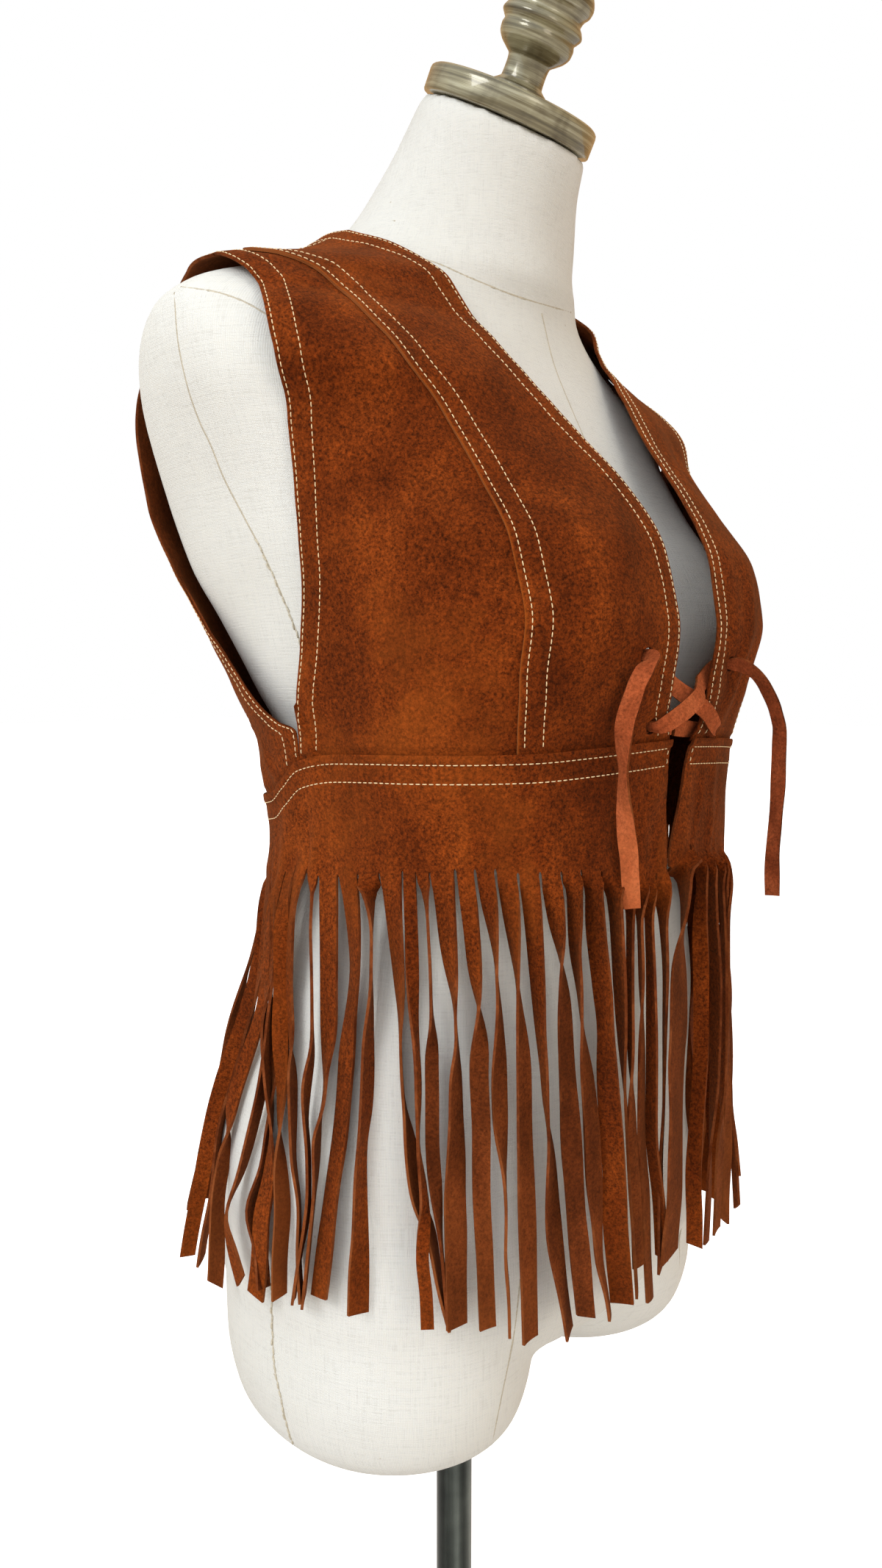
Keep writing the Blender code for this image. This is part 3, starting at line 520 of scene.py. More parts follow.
def steel_material(name, painted_reflection_bands):
    """Plain steel; the pole's has broad light and dark bands along its length: painted reflection."""
    m, nt, b = nodes_of(name)
    at = add(nt, "ShaderNodeTexCoord").outputs["Object"]
    mp = add(nt, "ShaderNodeMapping")
    mp.inputs["Scale"].default_value = (420.0, 420.0, 14.0)
    nt.links.new(at, mp.inputs["Vector"])
    drawn = noise(nt, mp.outputs["Vector"], 1.0, 3.0, 0.6)
    cloud = noise(nt, at, 26.0, 3.0, 0.6)
    col = ramp(nt, cloud, [(0.3, lin(70, 75, 72)), (0.7, lin(112, 118, 112))])
    broad = add(nt, "ShaderNodeMapping")
    broad.inputs["Scale"].default_value = (95.0, 95.0, 2.5)
    nt.links.new(at, broad.inputs["Vector"])
    bands = noise(nt, broad.outputs["Vector"], 1.0, 1.0, 0.5)
    # painted reflection: light and dark bands running down the pole
    if painted_reflection_bands:
        col = blend(nt, "MULTIPLY", 1.0, col, ramp(nt, bands, [(0.36, (0.28,)), (0.50, (0.8,)), (0.62, (1.7,))]))
    col = blend(nt, "MULTIPLY", 0.5, col, ramp(nt, drawn, [(0.35, (0.6,)), (0.65, (1.0,))]))
    nt.links.new(col, b.inputs["Base Color"])
    b.inputs["Metallic"].default_value = 0.85
    nt.links.new(ramp(nt, drawn, [(0.3, (0.18,)), (0.7, (0.32,))]), b.inputs["Roughness"])
    nt.links.new(bump(nt, drawn, 0.0001, 0.3), b.inputs["Normal"])
    return m


LINEN_MAT = linen_material()
THREAD_MAT = thread_material("topstitch_thread", lin(253, 222, 172))
HAND_THREAD_MAT = thread_material("seam_thread", lin(214, 203, 180))
SEAM_MAT = thread_material("linen_seam", lin(206, 194, 172))
VARNISH_MAT = varnish_material()
STEEL_MAT = steel_material("steel", True)
PLATE_MAT = steel_material("steel_plate", False)


# ------------------------------------------------------------------ mesh tools
def mesh_object(name, verts, faces, mats, slots=None, tone=None, uv=None):
    """An object from points in table millimetres. slots and tone go face by face and point by point."""
    me = bpy.data.meshes.new(name)
    me.from_pydata(world(verts).tolist(), [], [tuple(int(i) for i in f) for f in faces])
    for m in mats:
        me.materials.append(m)
    if slots is not None:
        me.polygons.foreach_set("material_index", np.asarray(slots, np.int32))
    if tone is not None:
        a = me.attributes.new("tone", "FLOAT", "POINT")
        a.data.foreach_set("value", np.asarray(tone, np.float32))
    me.update()
    me.shade_smooth()
    ob = bpy.data.objects.new(name, me)
    bpy.context.scene.collection.objects.link(ob)
    return ob


def grid_faces(rows, cols, start=0):
    i, j = np.meshgrid(np.arange(rows - 1), np.arange(cols - 1), indexing="ij")
    a = (start + i * cols + j).ravel()
    return np.stack([a, a + 1, a + cols + 1, a + cols], -1)


def baked(ob):
    """Applies the object's modifiers, so that its mesh is what shows."""
    dg = bpy.context.evaluated_depsgraph_get()
    me = bpy.data.meshes.new_from_object(ob.evaluated_get(dg))
    old = ob.data
    ob.modifiers.clear()
    ob.data = me
    bpy.data.meshes.remove(old)
    return ob


def wall(ob, thickness=SUEDE, offset=-1.0, even=True):
    """Gives a sheet its thickness; its inside and its cut edges take the next two materials."""
    m = ob.modifiers.new("wall", "SOLIDIFY")
    m.thickness = thickness * MM
    m.offset = offset
    m.use_rim = True
    m.use_even_offset = even
    m.material_offset = 1
    m.material_offset_rim = 2
    baked(ob)
    ob.data.set_sharp_from_angle(angle=math.radians(55))
    return ob


# ------------------------------------------------ the vest's surface as seen
LOOK_LEVELS = np.arange(1.0, 20.3, 0.04)
LOOK_ANGLES = np.radians(np.arange(-180, 180, 0.5))
look_l, look_a = np.meshgrid(LOOK_LEVELS, LOOK_ANGLES, indexing="ij")
look_p = vest_point(look_l, look_a)
look_n = vest_normal(look_l, look_a)
look_q = project(look_p)
look_ok = (look_n * (CAM_AT - look_p)).sum(-1) > 0
look_p, look_q = look_p[look_ok], look_q[look_ok]
look_l, look_a = look_l[look_ok], look_a[look_ok]
LEVEL_OF_Z = (smooth(VEST["level"], VEST["z"], np.arange(1.0, 22.0, 0.01)), np.arange(1.0, 22.0, 0.01))


def z_of(level):
    return smooth(VEST["level"], VEST["z"], level)


def level_of(z):
    return np.interp(z, *LEVEL_OF_Z)


def ray(x, y):
    """Direction from the camera through picture points, with unit reach ahead of it."""
    x, y = np.asarray(x, float)[..., None], np.asarray(y, float)[..., None]
    return CAM_F + CAM_R * (x - 600) / FOCAL - CAM_U * (y - 1066.5) / FOCAL


def look(x, y, low=1.0, high=20.3):
    """Depth, level and angle where the vest's near side shows at a picture point."""
    band = (look_l >= low) & (look_l <= high)
    q = look_q[band]
    cost = (q[:, 0] - x) ** 2 + (q[:, 1] - y) ** 2 + 0.0004 * (q[:, 2] - 400) ** 1.0
    i = int(np.argmin(cost))
    return q[i, 2], look_l[band][i], look_a[band][i]


def on_vest(points, low=1.0, high=20.3):
    """A line on the vest's surface under a row of picture points."""
    la = [look(x, y, low, high)[1:] for x, y in points]
    return vest_point(np.array([l for l, a in la]), np.array([a for l, a in la]))


def at_angles(points):
    """A line on the vest's surface through (angle, level) points."""
    p = np.array(points, float)
    return vest_point(p[:, 1], np.radians(p[:, 0]))


# creases: the line they follow, half width, height (minus is a trough)
CREASES = [
    (on_vest([(338, 985), (352, 1030), (372, 1072)]), 5.0, -1.6),
    (on_vest([(330, 960), (345, 1015), (360, 1062)]), 4.0, 1.1),
    (on_vest([(352, 1000), (364, 1035), (378, 1060)]), 3.5, 1.0),
    (on_vest([(322, 930), (332, 985), (344, 1040)]), 4.5, -0.9),
    (on_vest([(397, 1078), (391, 1125), (385, 1180)], 5.5, 7.3), 6.5, 0.9),
    (on_vest([(420, 1090), (414, 1135), (402, 1175)], 5.5, 7.3), 6.0, -0.9),
    (on_vest([(612, 735), (640, 800), (668, 868)]), 15.0, -1.0),
    (on_vest([(560, 760), (590, 840), (640, 920)]), 18.0, 0.7),
    (on_vest([(455, 1010), (470, 940), (500, 880)]), 12.0, -0.8),
    (on_vest([(820, 930), (800, 980), (790, 1025)]), 9.0, -0.7),
    (on_vest([(842, 690), (852, 760), (850, 830)]), 7.0, 0.5),
    (on_vest([(330, 350), (352, 392), (372, 440)]), 8.0, -0.8),
    (on_vest([(470, 330), (520, 380), (575, 450)]), 14.0, 0.5),
    (on_vest([(905, 1060), (880, 1110), (868, 1170)], 5.5, 7.3), 6.0, 0.9),
    (on_vest([(700, 1075), (704, 1130), (706, 1185)], 5.5, 7.3), 9.0, -0.7),
    (on_vest([(560, 1085), (556, 1135), (548, 1185)], 5.5, 7.3), 10.0, 0.7),
    (on_vest([(626, 1095), (632, 1140), (634, 1185)], 5.5, 7.3), 8.0, -0.6),
    (on_vest([(480, 1100), (474, 1140), (470, 1185)], 5.5, 7.3), 8.0, -0.7),
    (on_vest([(800, 1080), (806, 1130), (812, 1175)], 5.5, 7.3), 8.0, 0.6),
    (at_angles([(12, 10.4), (11, 9.6), (12, 8.8), (14, 8.2)]), 6.0, -1.5),
    (at_angles([(24, 10.0), (22, 9.0), (20, 8.2), (19, 7.5)]), 5.0, 1.7),
    (at_angles([(30, 9.4), (27, 8.6), (25, 7.9), (24, 7.3)]), 6.0, -1.4),
    (at_angles([(22, 13.4), (20, 12.4), (18, 11.4), (17, 10.6)]), 6.0, 0.9),
    (at_angles([(29, 13.0), (26, 12.0), (24, 11.0)]), 6.0, -0.9),
    (at_angles([(12, 7.0), (11, 6.5), (10, 6.0)]), 5.0, -1.3),
    (at_angles([(20, 7.0), (19, 6.4), (18, 5.95)]), 5.0, 1.2),
    (at_angles([(60, 9.0), (70, 8.3), (84, 7.7)]), 9.0, -1.0),
    (at_angles([(56, 8.2), (68, 7.8), (80, 7.4)]), 8.0, 0.8),
    (at_angles([(103, 7.35), (110, 7.0), (118, 6.7)]), 5.0, -1.4),
    (at_angles([(102, 7.2), (108, 6.85), (114, 6.6)]), 4.0, 1.0),
    (at_angles([(98, 7.0), (97, 6.4), (97, 5.9)]), 5.0, 1.2),
    (at_angles([(-150, 8.0), (-158, 7.4), (-166, 6.8)]), 11.0, -1.3),
    (at_angles([(150, 8.2), (157, 7.5), (164, 6.9)]), 11.0, -1.2),
    (at_angles([(-172, 7.9), (-176, 7.3), (180, 6.8)]), 12.0, 1.1),
    (at_angles([(-140, 9.6), (-150, 9.2), (-162, 9.0)]), 14.0, 0.9),
    (at_angles([(140, 9.8), (150, 9.3), (163, 9.2)]), 14.0, 0.9),
    (at_angles([(170, 12.0), (172, 13.5), (168, 15.0)]), 16.0, -0.8),
    (at_angles([(-168, 12.5), (-171, 14.0), (-166, 15.5)]), 15.0, 0.8),
    (at_angles([(-130, 7.0), (-134, 6.5), (-136, 6.0)]), 7.0, 1.1),
    (at_angles([(140, 6.6), (143, 6.2), (145, 5.8)]), 7.0, -1.0),
    (at_angles([(165, 6.5), (166, 6.1), (168, 5.8)]), 8.0, 0.9),
]


def creased(p):
    """Height of the hide's own creases and waves over the section surface, mm."""
    h = 0.45 * ripple(p, 95.0, 3, 2) + 0.16 * ripple(p, 26.0, 5, 2)
    for n, (path, width, height) in enumerate(CREASES):
        near = np.abs(p - path.mean(0)).max(-1) < 90
        if not near.any():
            continue
        r, s = to_line(p[near], path)
        along = np.clip(np.sin(math.pi * np.clip(0.06 + 0.88 * s, 0, 1)), 0, 1) ** 0.8
        uneven = 1 + 0.25 * np.sin(9 * s + n)
        shape = np.exp(-((r / width) ** 2)) - 0.35 * np.exp(-(((r - 1.9 * width) / width) ** 2))
        h[near] += height * along * uneven * shape
    return h


def ease(d, a, b):
    """0 below a, 1 above b, smoothly between."""
    t = np.clip((d - a) / (b - a), 0, 1)
    return t * t * (3 - 2 * t)


def groove(d, at):
    return -0.32 * np.exp(-(((d - at) / 0.75) ** 2))


def hem(d, one=2.0, two=12.0, thick=0.5):
    """A turned edge: doubled as far as its second row of stitches, which both rows pull in."""
    return thick * (1 - ease(d, two + 0.4, two + 2.6)) + groove(d, one) + groove(d, two) - 0.5 * np.exp(-d / 0.5)


NEAR = np.array([0, 0.4, 1.0, 1.6, 2.2, 3.0, 4.2, 6.0, 8.2, 10.2, 11.2, 12.0, 12.8, 13.8, 15.5])


def edge_set(v):
    """How far round the left front's edge lies from the mirror of the right one's, degrees."""
    return 4.6 * np.exp(-((v / 0.9) ** 2)) - 4.8 * np.exp(-(((v - 7.0) / 1.8) ** 2))


class Sheet:
    """A cut piece between two cutting lines of a table, on one side of the body."""

    def __init__(self, tab, inner, outer, side, height, over=(0.0, 0.0), rows=220, last=None, middle=20):
        self.tab, self.inner, self.outer, self.side, self.height, self.over = tab, inner, outer, side, height, over
        count = len(tab[inner[0]]) - 1
        last = count if last is None else last
        self.v = np.concatenate([np.linspace(0, 0.32, 12)[:-1], np.linspace(0.32, last, rows)])
        self.u = np.linspace(-0.03, 1.03, 45)
        vv, uu = np.meshgrid(self.v, self.u, indexing="ij")
        p = vest_point(*self.raw(vv, uu)[::-1])
        s = np.concatenate([np.zeros((len(self.v), 1)), np.cumsum(np.linalg.norm(np.diff(p, axis=1), axis=2), axis=1)], 1)
        zero = np.array([np.interp(0.0, self.u, row) for row in s])
        one = np.array([np.interp(1.0, self.u, row) for row in s])
        self.s = s - zero[:, None]
        self.width = one - zero
        self.middle = middle

    def raw(self, v, u):
        rows = np.arange(len(self.tab[self.inner[0]]), dtype=float)
        a0, l0 = (smooth(rows, self.tab[c], v) for c in self.inner)
        a1, l1 = (smooth(rows, self.tab[c], v) for c in self.outer)
        if self.side > 0 and self.inner[0] == "edge_angle":
            a0 = a0 + edge_set(v)
        angle = (1 - u) * a0 + u * a1
        level = (1 - u) * l0 + u * l1
        straight = (1 - u) * self.tab[self.inner[1]][0] + u * self.tab[self.outer[1]][0]
        level = level + np.clip(1 - v / 2.0, 0, 1) * (seam_level(angle) + SEAM_STEP - straight)
        return np.radians(self.side * angle), np.clip(level, 1.0, 21.9)

    def fraction(self, i, d):
        """u at distance d from the inner line, on sampled row i."""
        return np.interp(d, self.s[i], self.u)

    def place(self, v, u, d_in, d_out, extra=0.0):
        phi, level = self.raw(v, u)
        p = vest_point(level, phi)
        n = vest_normal(level, phi)
        foot = z_of(level) - z_of(seam_level(np.degrees(np.abs(phi))))
        h = self.height(d_in, d_out, foot, v, p) + creased(p) + extra
        h = h - 0.75 * (1 - ease(foot, 2.5, 6.0))
        return p + n * h[..., None], n

    def line(self, d, outer=False, first=0, last=None, extra=0.0):
        """Points and normals along the piece at distance d from one of its lines."""
        last = len(self.v) if last is None else last
        idx = np.arange(first, last)
        d_in = np.array([(self.width[i] - d) if outer else d for i in idx], float)
        u = np.array([self.fraction(i, x) for i, x in zip(idx, d_in)])
        return self.place(self.v[idx], u, d_in, self.width[idx] - d_in, extra)

    def grid(self):
        uu, dd = [], []
        for i, w in enumerate(self.width):
            f = min(1.0, 0.49 * w / NEAR[-1])
            mid = np.linspace(NEAR[-1] * f, w - NEAR[-1] * f, self.middle + 1)
            d = np.concatenate([NEAR * f, mid[1:-1], w - (NEAR * f)[::-1]])
            if self.over[0]:
                d = np.concatenate([[-self.over[0], -0.4 * self.over[0]], d])
            if self.over[1]:
                d = np.concatenate([d, [w + 0.4 * self.over[1], w + self.over[1]]])
            dd.append(d)
            uu.append(self.fraction(i, d))
        uu, dd = np.array(uu), np.array(dd)
        vv = np.repeat(self.v[:, None], uu.shape[1], 1)
        p, n = self.place(vv, uu, dd, self.width[:, None] - dd)
        return p, vv, dd


# spots where the hide is painted darker (0) or lighter (1) than its mean, placed by angle and level: mostly painted
# shade and painted light, with some uneven tone of the hide
PAINTED_LIGHT_AND_TONE_SPOTS = [  # angle, level, reach in angle and level, change
    (-62, 13.0, 15, 2.4, -0.14), (-58, 10.4, 15, 1.0, -0.06), (-56, 8.4, 17, 0.7, 0.08),
    (-22, 9.6, 13, 1.6, -0.16), (-25, 12.0, 11, 1.5, -0.12), (-24, 8.0, 12, 0.6, -0.12), (-40, 17.0, 16, 1.6, 0.05),
    (-70, 7.15, 18, 0.40, 0.16), (-28, 6.5, 12, 1.0, -0.30), (-5, 6.5, 7, 1.0, 0.10), (-45, 6.5, 22, 0.4, 0.06),
    (-88, 6.4, 10, 0.6, 0.08), (24, 9.0, 14, 1.8, -0.14), (20, 6.2, 24, 0.9, -0.16), (18, 12.5, 10, 2.0, -0.06),
    (40, 8.2, 12, 0.6, 0.06), (60, 12.0, 20, 3.0, -0.06), (150, 12.0, 30, 4.0, -0.05), (-150, 9.0, 25, 3.0, 0.03),
    (180, 7.4, 30, 0.8, 0.05),
]


def tone_with_painted_light_at(p, level, angle):
    t = 0.5 + 0.10 * ripple(p, 60.0, 11, 3) + 0.05 * ripple(p, 12.0, 12, 2)
    # the spots add painted shade and painted light to the hide's random uneven tone
    for a, l, da, dl, change in PAINTED_LIGHT_AND_TONE_SPOTS:
        turn = (angle - a + 180) % 360 - 180
        t = t + change * np.exp(-((turn / da) ** 2) - ((level - l) / dl) ** 2)
    return t


# ------------------------------------------------------------------ stitching
def stitch_mesh(name, rows, mat, pitch=3.2, length=2.3, radius=0.28, lift=0.17, wander=0.0):
    """Rows of thread on cloth, each stitch a small capsule that dips in at both ends."""
    rings, sides = 5, 6
    a = np.linspace(0, 2 * math.pi, sides, endpoint=False)
    prof = np.array([(-0.5, 0.35), (-0.36, 0.9), (0.0, 1.0), (0.36, 0.9), (0.5, 0.35)])
    verts, faces = [], []
    count = 0
    for p, n in rows:
        s = np.concatenate([[0], np.cumsum(np.linalg.norm(np.diff(p, axis=0), axis=1))])
        total = max(1, int(s[-1] / pitch))
        step = s[-1] / total
        for k in range(total):
            mid = (k + 0.5) * step
            ends = [np.array([np.interp(mid + e * length, s, p[:, c]) for c in range(3)]) for e in (-0.5, 0, 0.5)]
            nn = unit(np.array([np.interp(mid, s, n[:, c]) for c in range(3)]))
            t = unit(ends[2] - ends[0])
            b = np.cross(nn, t)
            if wander:
                ends[1] = ends[1] + b * RNG.uniform(-wander, wander)
                t = unit(t + b * RNG.uniform(-wander, wander) * 0.5)
                b = np.cross(nn, t)
            ring = []
            for x, r in prof:
                c = ends[1] + t * (x * length) + nn * (lift + 0.10 - 0.75 * x * x)
                ring.append(c + radius * r * (np.cos(a)[:, None] * b + np.sin(a)[:, None] * nn))
            verts.append(np.concatenate(ring))
            for i in range(rings - 1):
                for j in range(sides):
                    q = count + i * sides + j
                    w = count + i * sides + (j + 1) % sides
                    faces.append((q, w, w + sides, q + sides))
            faces.append(tuple(count + j for j in range(sides - 1, -1, -1)))
            faces.append(tuple(count + (rings - 1) * sides + j for j in range(sides)))
            count += rings * sides
    ob = mesh_object(name, np.concatenate(verts), faces, [mat])
    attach(ob, "root")
    return ob


SHEET_MATS = [SUEDE_MAT, FLESH_MAT, CUT_MAT]
MADE = {}


def centre_height(d_in, d_out, foot, v, p):
    lap = 0.45 * (1 - ease(d_out, 11.0, 13.2)) + 0.62 * (1 - ease(d_out, 1.5, 5.5))
    return hem(d_in) + lap + groove(d_out, 1.8) + groove(d_out, 11.2)


def side_height(d_in, d_out, foot, v, p):
    return hem(d_out) - 0.75 * (1 - ease(d_in, 3.0, 7.0))


def punch(ob, angle, level):
    p = vest_point(level, math.radians(angle))
    n = vest_normal(np.array(level), np.array(math.radians(angle)))
    bm = bmesh.new()
    bmesh.ops.create_cone(bm, cap_ends=True, segments=32, radius1=HOLE_RADIUS * MM, radius2=HOLE_RADIUS * MM, depth=0.024)
    me = bpy.data.meshes.new("hole")
    bm.to_mesh(me)
    bm.free()
    for m in SHEET_MATS:
        me.materials.append(m)
    me.polygons.foreach_set("material_index", np.full(len(me.polygons), 2, np.int32))
    cutter = bpy.data.objects.new("hole", me)
    bpy.context.scene.collection.objects.link(cutter)
    cutter.matrix_world = Matrix.Translation(Vector(world(p))) @ Vector(n).to_track_quat("Z", "Y").to_matrix().to_4x4()
    bpy.context.view_layer.update()
    cut = ob.modifiers.new("hole", "BOOLEAN")
    cut.operation = "DIFFERENCE"
    cut.solver = "EXACT"
    cut.object = cutter
    baked(ob)
    bpy.data.objects.remove(cutter, do_unlink=True)
    return ob


def front_piece(name, sheet, word):
    p, vv, dd = sheet.grid()
    rows, cols = p.shape[:2]
    faces = grid_faces(rows, cols)
    if sheet.side < 0:
        faces = faces[:, ::-1]
    phi, level = sheet.raw(vv, np.array([sheet.fraction(i, dd[i]) for i in range(rows)]))
    tone = tone_with_painted_light_at(p, level, np.degrees(phi))
    tone = tone + 0.05 * np.exp(-np.minimum(dd, sheet.width[:, None] - dd) / 0.6)
    ob = mesh_object(name, p.reshape(-1, 3), faces, SHEET_MATS, tone=tone.ravel())
    wall(ob)
    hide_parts(name_of_node(name))
    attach(ob, "root")
    MADE[name] = ob
    return ob


def name_of_node(name):
    return name[:-len("_hide")]


for side, word in ((-1, "right"), (1, "left")):
    centre = Sheet(FRONT, ("edge_angle", "edge_level"), ("princess_angle", "princess_level"), side, centre_height,
                   over=(0.0, 1.5), middle=22)
    flank = Sheet(FRONT, ("princess_angle", "princess_level"), ("arm_angle", "arm_level"), side, side_height, middle=22)
    ob = front_piece("vest_front_centre_%s_hide" % word, centre, word)
    for angle, level in HOLE_ROWS[word]:
        punch(ob, angle, level)
    front_piece("vest_front_side_%s_hide" % word, flank, word)
    low = 6
    stitch_mesh("vest_front_centre_%s_stitches" % word,
                [centre.line(2.7, first=low, extra=0.15), centre.line(12.0, first=low),
                 centre.line(1.8, outer=True, first=low), centre.line(11.2, outer=True, first=low)], THREAD_MAT)
    stitch_mesh("vest_front_side_%s_stitches" % word,
                [flank.line(2.0, outer=True, first=low), flank.line(12.0, outer=True, first=low)], THREAD_MAT)
    MADE["sheet_centre_" + word], MADE["sheet_flank_" + word] = centre, flank


# ------------------------------------------------------------------ dress form
STUMP_X, STUMP_Y = 84.0, -14.0
STUMP_ROWS = [
    (-282, 14, 19), (-278, 37, 46), (-270, 55, 68), (-259, 65, 82),
    (-244, 70, 89), (-224, 73, 93), (-195, 73, 94), (-160, 71, 91),
]
POLE_RADIUS, POLE_TOP, SOCKET_RADIUS = 11.0, -142.0, 11.5
BASE_RADIUS, BASE_THICK = 140.0, 12.0
COLLAR_RADIUS, COLLAR_HEIGHT = 21.0, 34.0
CAP_RADIUS, CAP_THICK = 48.5, 14.5
FLOOR = -WAIST_HEIGHT


def loft(name, rings, mat):
    count = len(rings[0])
    verts = np.concatenate(rings)
    faces = []
    for i in range(len(rings) - 1):
        for j in range(count):
            a, b = i * count + j, i * count + (j + 1) % count
            faces.append((a, b, b + count, a + count))
    faces.append(tuple(range(count - 1, -1, -1)))
    faces.append(tuple((len(rings) - 1) * count + j for j in range(count)))
    ob = mesh_object(name, verts, faces, [mat])
    bm = bmesh.new()
    bm.from_mesh(ob.data)
    bmesh.ops.recalc_face_normals(bm, faces=bm.faces)
    bm.to_mesh(ob.data)
    bm.free()
    return ob


turn = np.linspace(0, 2 * math.pi, 120, endpoint=False)
torso = loft("form_body", [form_point(float(t), turn) for t in np.linspace(0, 24, 161)], LINEN_MAT)
leg_turn = np.linspace(0, 2 * math.pi, 72, endpoint=False)
stump_z, stump_w, stump_d = (np.array([r[k] for r in STUMP_ROWS], float) for k in range(3))
guides = []
for side in (-1, 1):
    zs = np.concatenate([-281 + 10 * np.linspace(0, 1, 8) ** 2, np.linspace(-269, -160, 26)])
    rings = [np.stack([side * STUMP_X + smooth(stump_z, stump_w, z) * np.sin(leg_turn),
                       STUMP_Y - smooth(stump_z, stump_d, z) * np.cos(leg_turn),
                       np.full(len(leg_turn), float(z))], -1) for z in zs]
    guides.append(loft("stump", rings, LINEN_MAT))
bm = bmesh.new()
bmesh.ops.create_cone(bm, cap_ends=True, segments=48, radius1=SOCKET_RADIUS * MM, radius2=SOCKET_RADIUS * MM,
                      depth=(POLE_TOP + 0.3 + 330) * MM)
me = bpy.data.meshes.new("socket")
bm.to_mesh(me)
bm.free()
me.materials.append(LINEN_MAT)
socket = bpy.data.objects.new("socket", me)
bpy.context.scene.collection.objects.link(socket)
socket.location = (0, 0, ((POLE_TOP + 0.3 - 330) / 2 + WAIST_HEIGHT) * MM)
bpy.context.view_layer.update()
for g in guides:
    m = torso.modifiers.new("union", "BOOLEAN")
    m.operation, m.solver, m.object = "UNION", "EXACT", g
m = torso.modifiers.new("remesh", "REMESH")
m.mode, m.voxel_size, m.use_smooth_shade = "VOXEL", 0.0042, True
m = torso.modifiers.new("soft", "SMOOTH")
m.factor, m.iterations = 0.5, 6
m = torso.modifiers.new("socket", "BOOLEAN")
m.operation, m.solver, m.object = "DIFFERENCE", "EXACT", socket
baked(torso)
for g in guides + [socket]:
    bpy.data.objects.remove(g, do_unlink=True)
me = torso.data
co = np.zeros(len(me.vertices) * 3, np.float32)
me.vertices.foreach_get("co", co)
co = co.reshape(-1, 3) / MM - np.array([0, 0, WAIST_HEIGHT])
no = np.zeros(len(me.vertices) * 3, np.float32)
me.vertices.foreach_get("normal", no)
no = no.reshape(-1, 3)
# padding under the cover is never quite even, and the cover pulls softly at the hips
body_of_form = (co[:, 2] > -215) | (np.hypot(co[:, 0], co[:, 1]) > 16)
h = 0.35 * ripple(co, 80.0, 21, 2)
PULLS = [
    (np.array([(-120, -60, -60), (-105, -85, -100), (-100, -98, -140)], float), 7.0, -0.9),
    (np.array([(-100, -75, -50), (-84, -100, -95), (-76, -108, -135)], float), 7.0, 0.8),
    (np.array([(-60, -100, -60), (-50, -118, -110), (-52, -122, -160)], float), 8.0, -0.7),
    (np.array([(60, -100, -60), (52, -118, -110), (50, -122, -160)], float), 8.0, 0.7),
    (np.array([(120, -50, -50), (118, -60, -100), (116, -66, -150)], float), 8.0, -0.8),
    (np.array([(-70, 80, -60), (-80, 90, -110), (-84, 92, -160)], float), 9.0, 0.7),
    (np.array([(60, 84, -50), (70, 92, -100), (76, 94, -150)], float), 9.0, -0.8),
]
for path, width, height in PULLS:
    r, s = to_line(co, path)
    h += height * np.exp(-((r / width) ** 2)) * np.sin(math.pi * np.clip(s, 0.02, 0.98)) ** 0.7
co = co + no * (h * body_of_form)[:, None]
me.vertices.foreach_set("co", (world(co)).astype(np.float32).ravel())
me.update()
me.shade_smooth()
# a map unrolled round the body, one unit to the metre
uv = me.uv_layers.new(name="unrolled")
loops = np.zeros(len(me.loops), np.int32)
me.loops.foreach_get("vertex_index", loops)
start = np.zeros(len(me.polygons), np.int32)
total = np.zeros(len(me.polygons), np.int32)
me.polygons.foreach_get("loop_start", start)
me.polygons.foreach_get("loop_total", total)
angle = np.arctan2(co[:, 0], -(co[:, 1] + 10))
la = angle[loops]
first = np.repeat(la[start], total)
la = np.where(la - first > math.pi, la - 2 * math.pi, np.where(first - la > math.pi, la + 2 * math.pi, la))
uvs = np.stack([la * 0.13, co[loops, 2] * MM * 1.02], -1).astype(np.float32)
uv.data.foreach_set("uv", uvs.ravel())
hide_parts("form_torso")
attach(torso, "root")

dg = bpy.context.evaluated_depsgraph_get()
BODY = BVHTree.FromObject(torso, dg)
EYE = Vector(world(CAM_AT))


def on_body(points, step=2.0, off=0.0):
    """Points and normals along a seam line of the form, under a row of picture points."""
    pts = np.array(points, float)
    s = np.concatenate([[0], np.cumsum(np.linalg.norm(np.diff(pts, axis=0), axis=1))])
    at = np.linspace(0, s[-1], int(s[-1] / 3) + 2)
    line = np.stack([smooth(s, pts[:, k], at) for k in range(2)], -1)
    out, nor = [], []
    for x, y in line:
        hit, n, _, _ = BODY.ray_cast(EYE, Vector(ray(x, y)))
        if hit is not None and (not out or np.linalg.norm(np.array(hit) / MM - out[-1]) < 25):
            out.append(np.array(hit) / MM)
            nor.append(np.array(n))
    return seam_of(np.array(out), np.array(nor), step, off)


def round_body(points, step=2.0, off=0.0):
    """The same through points near the form, in table millimetres."""
    pts = np.array(points, float)
    s = np.concatenate([[0], np.cumsum(np.linalg.norm(np.diff(pts, axis=0), axis=1))])
    at = np.linspace(0, s[-1], int(s[-1] / 4) + 2)
    line = np.stack([smooth(s, pts[:, k], at) for k in range(3)], -1)
    out, nor = [], []
    for p in line:
        hit, n, _, _ = BODY.find_nearest(Vector(world(p)))
        out.append(np.array(hit) / MM - np.array([0, 0, WAIST_HEIGHT]))
        nor.append(np.array(n))
    return seam_of(np.array(out) + np.array([0, 0, WAIST_HEIGHT]), np.array(nor), step, off)


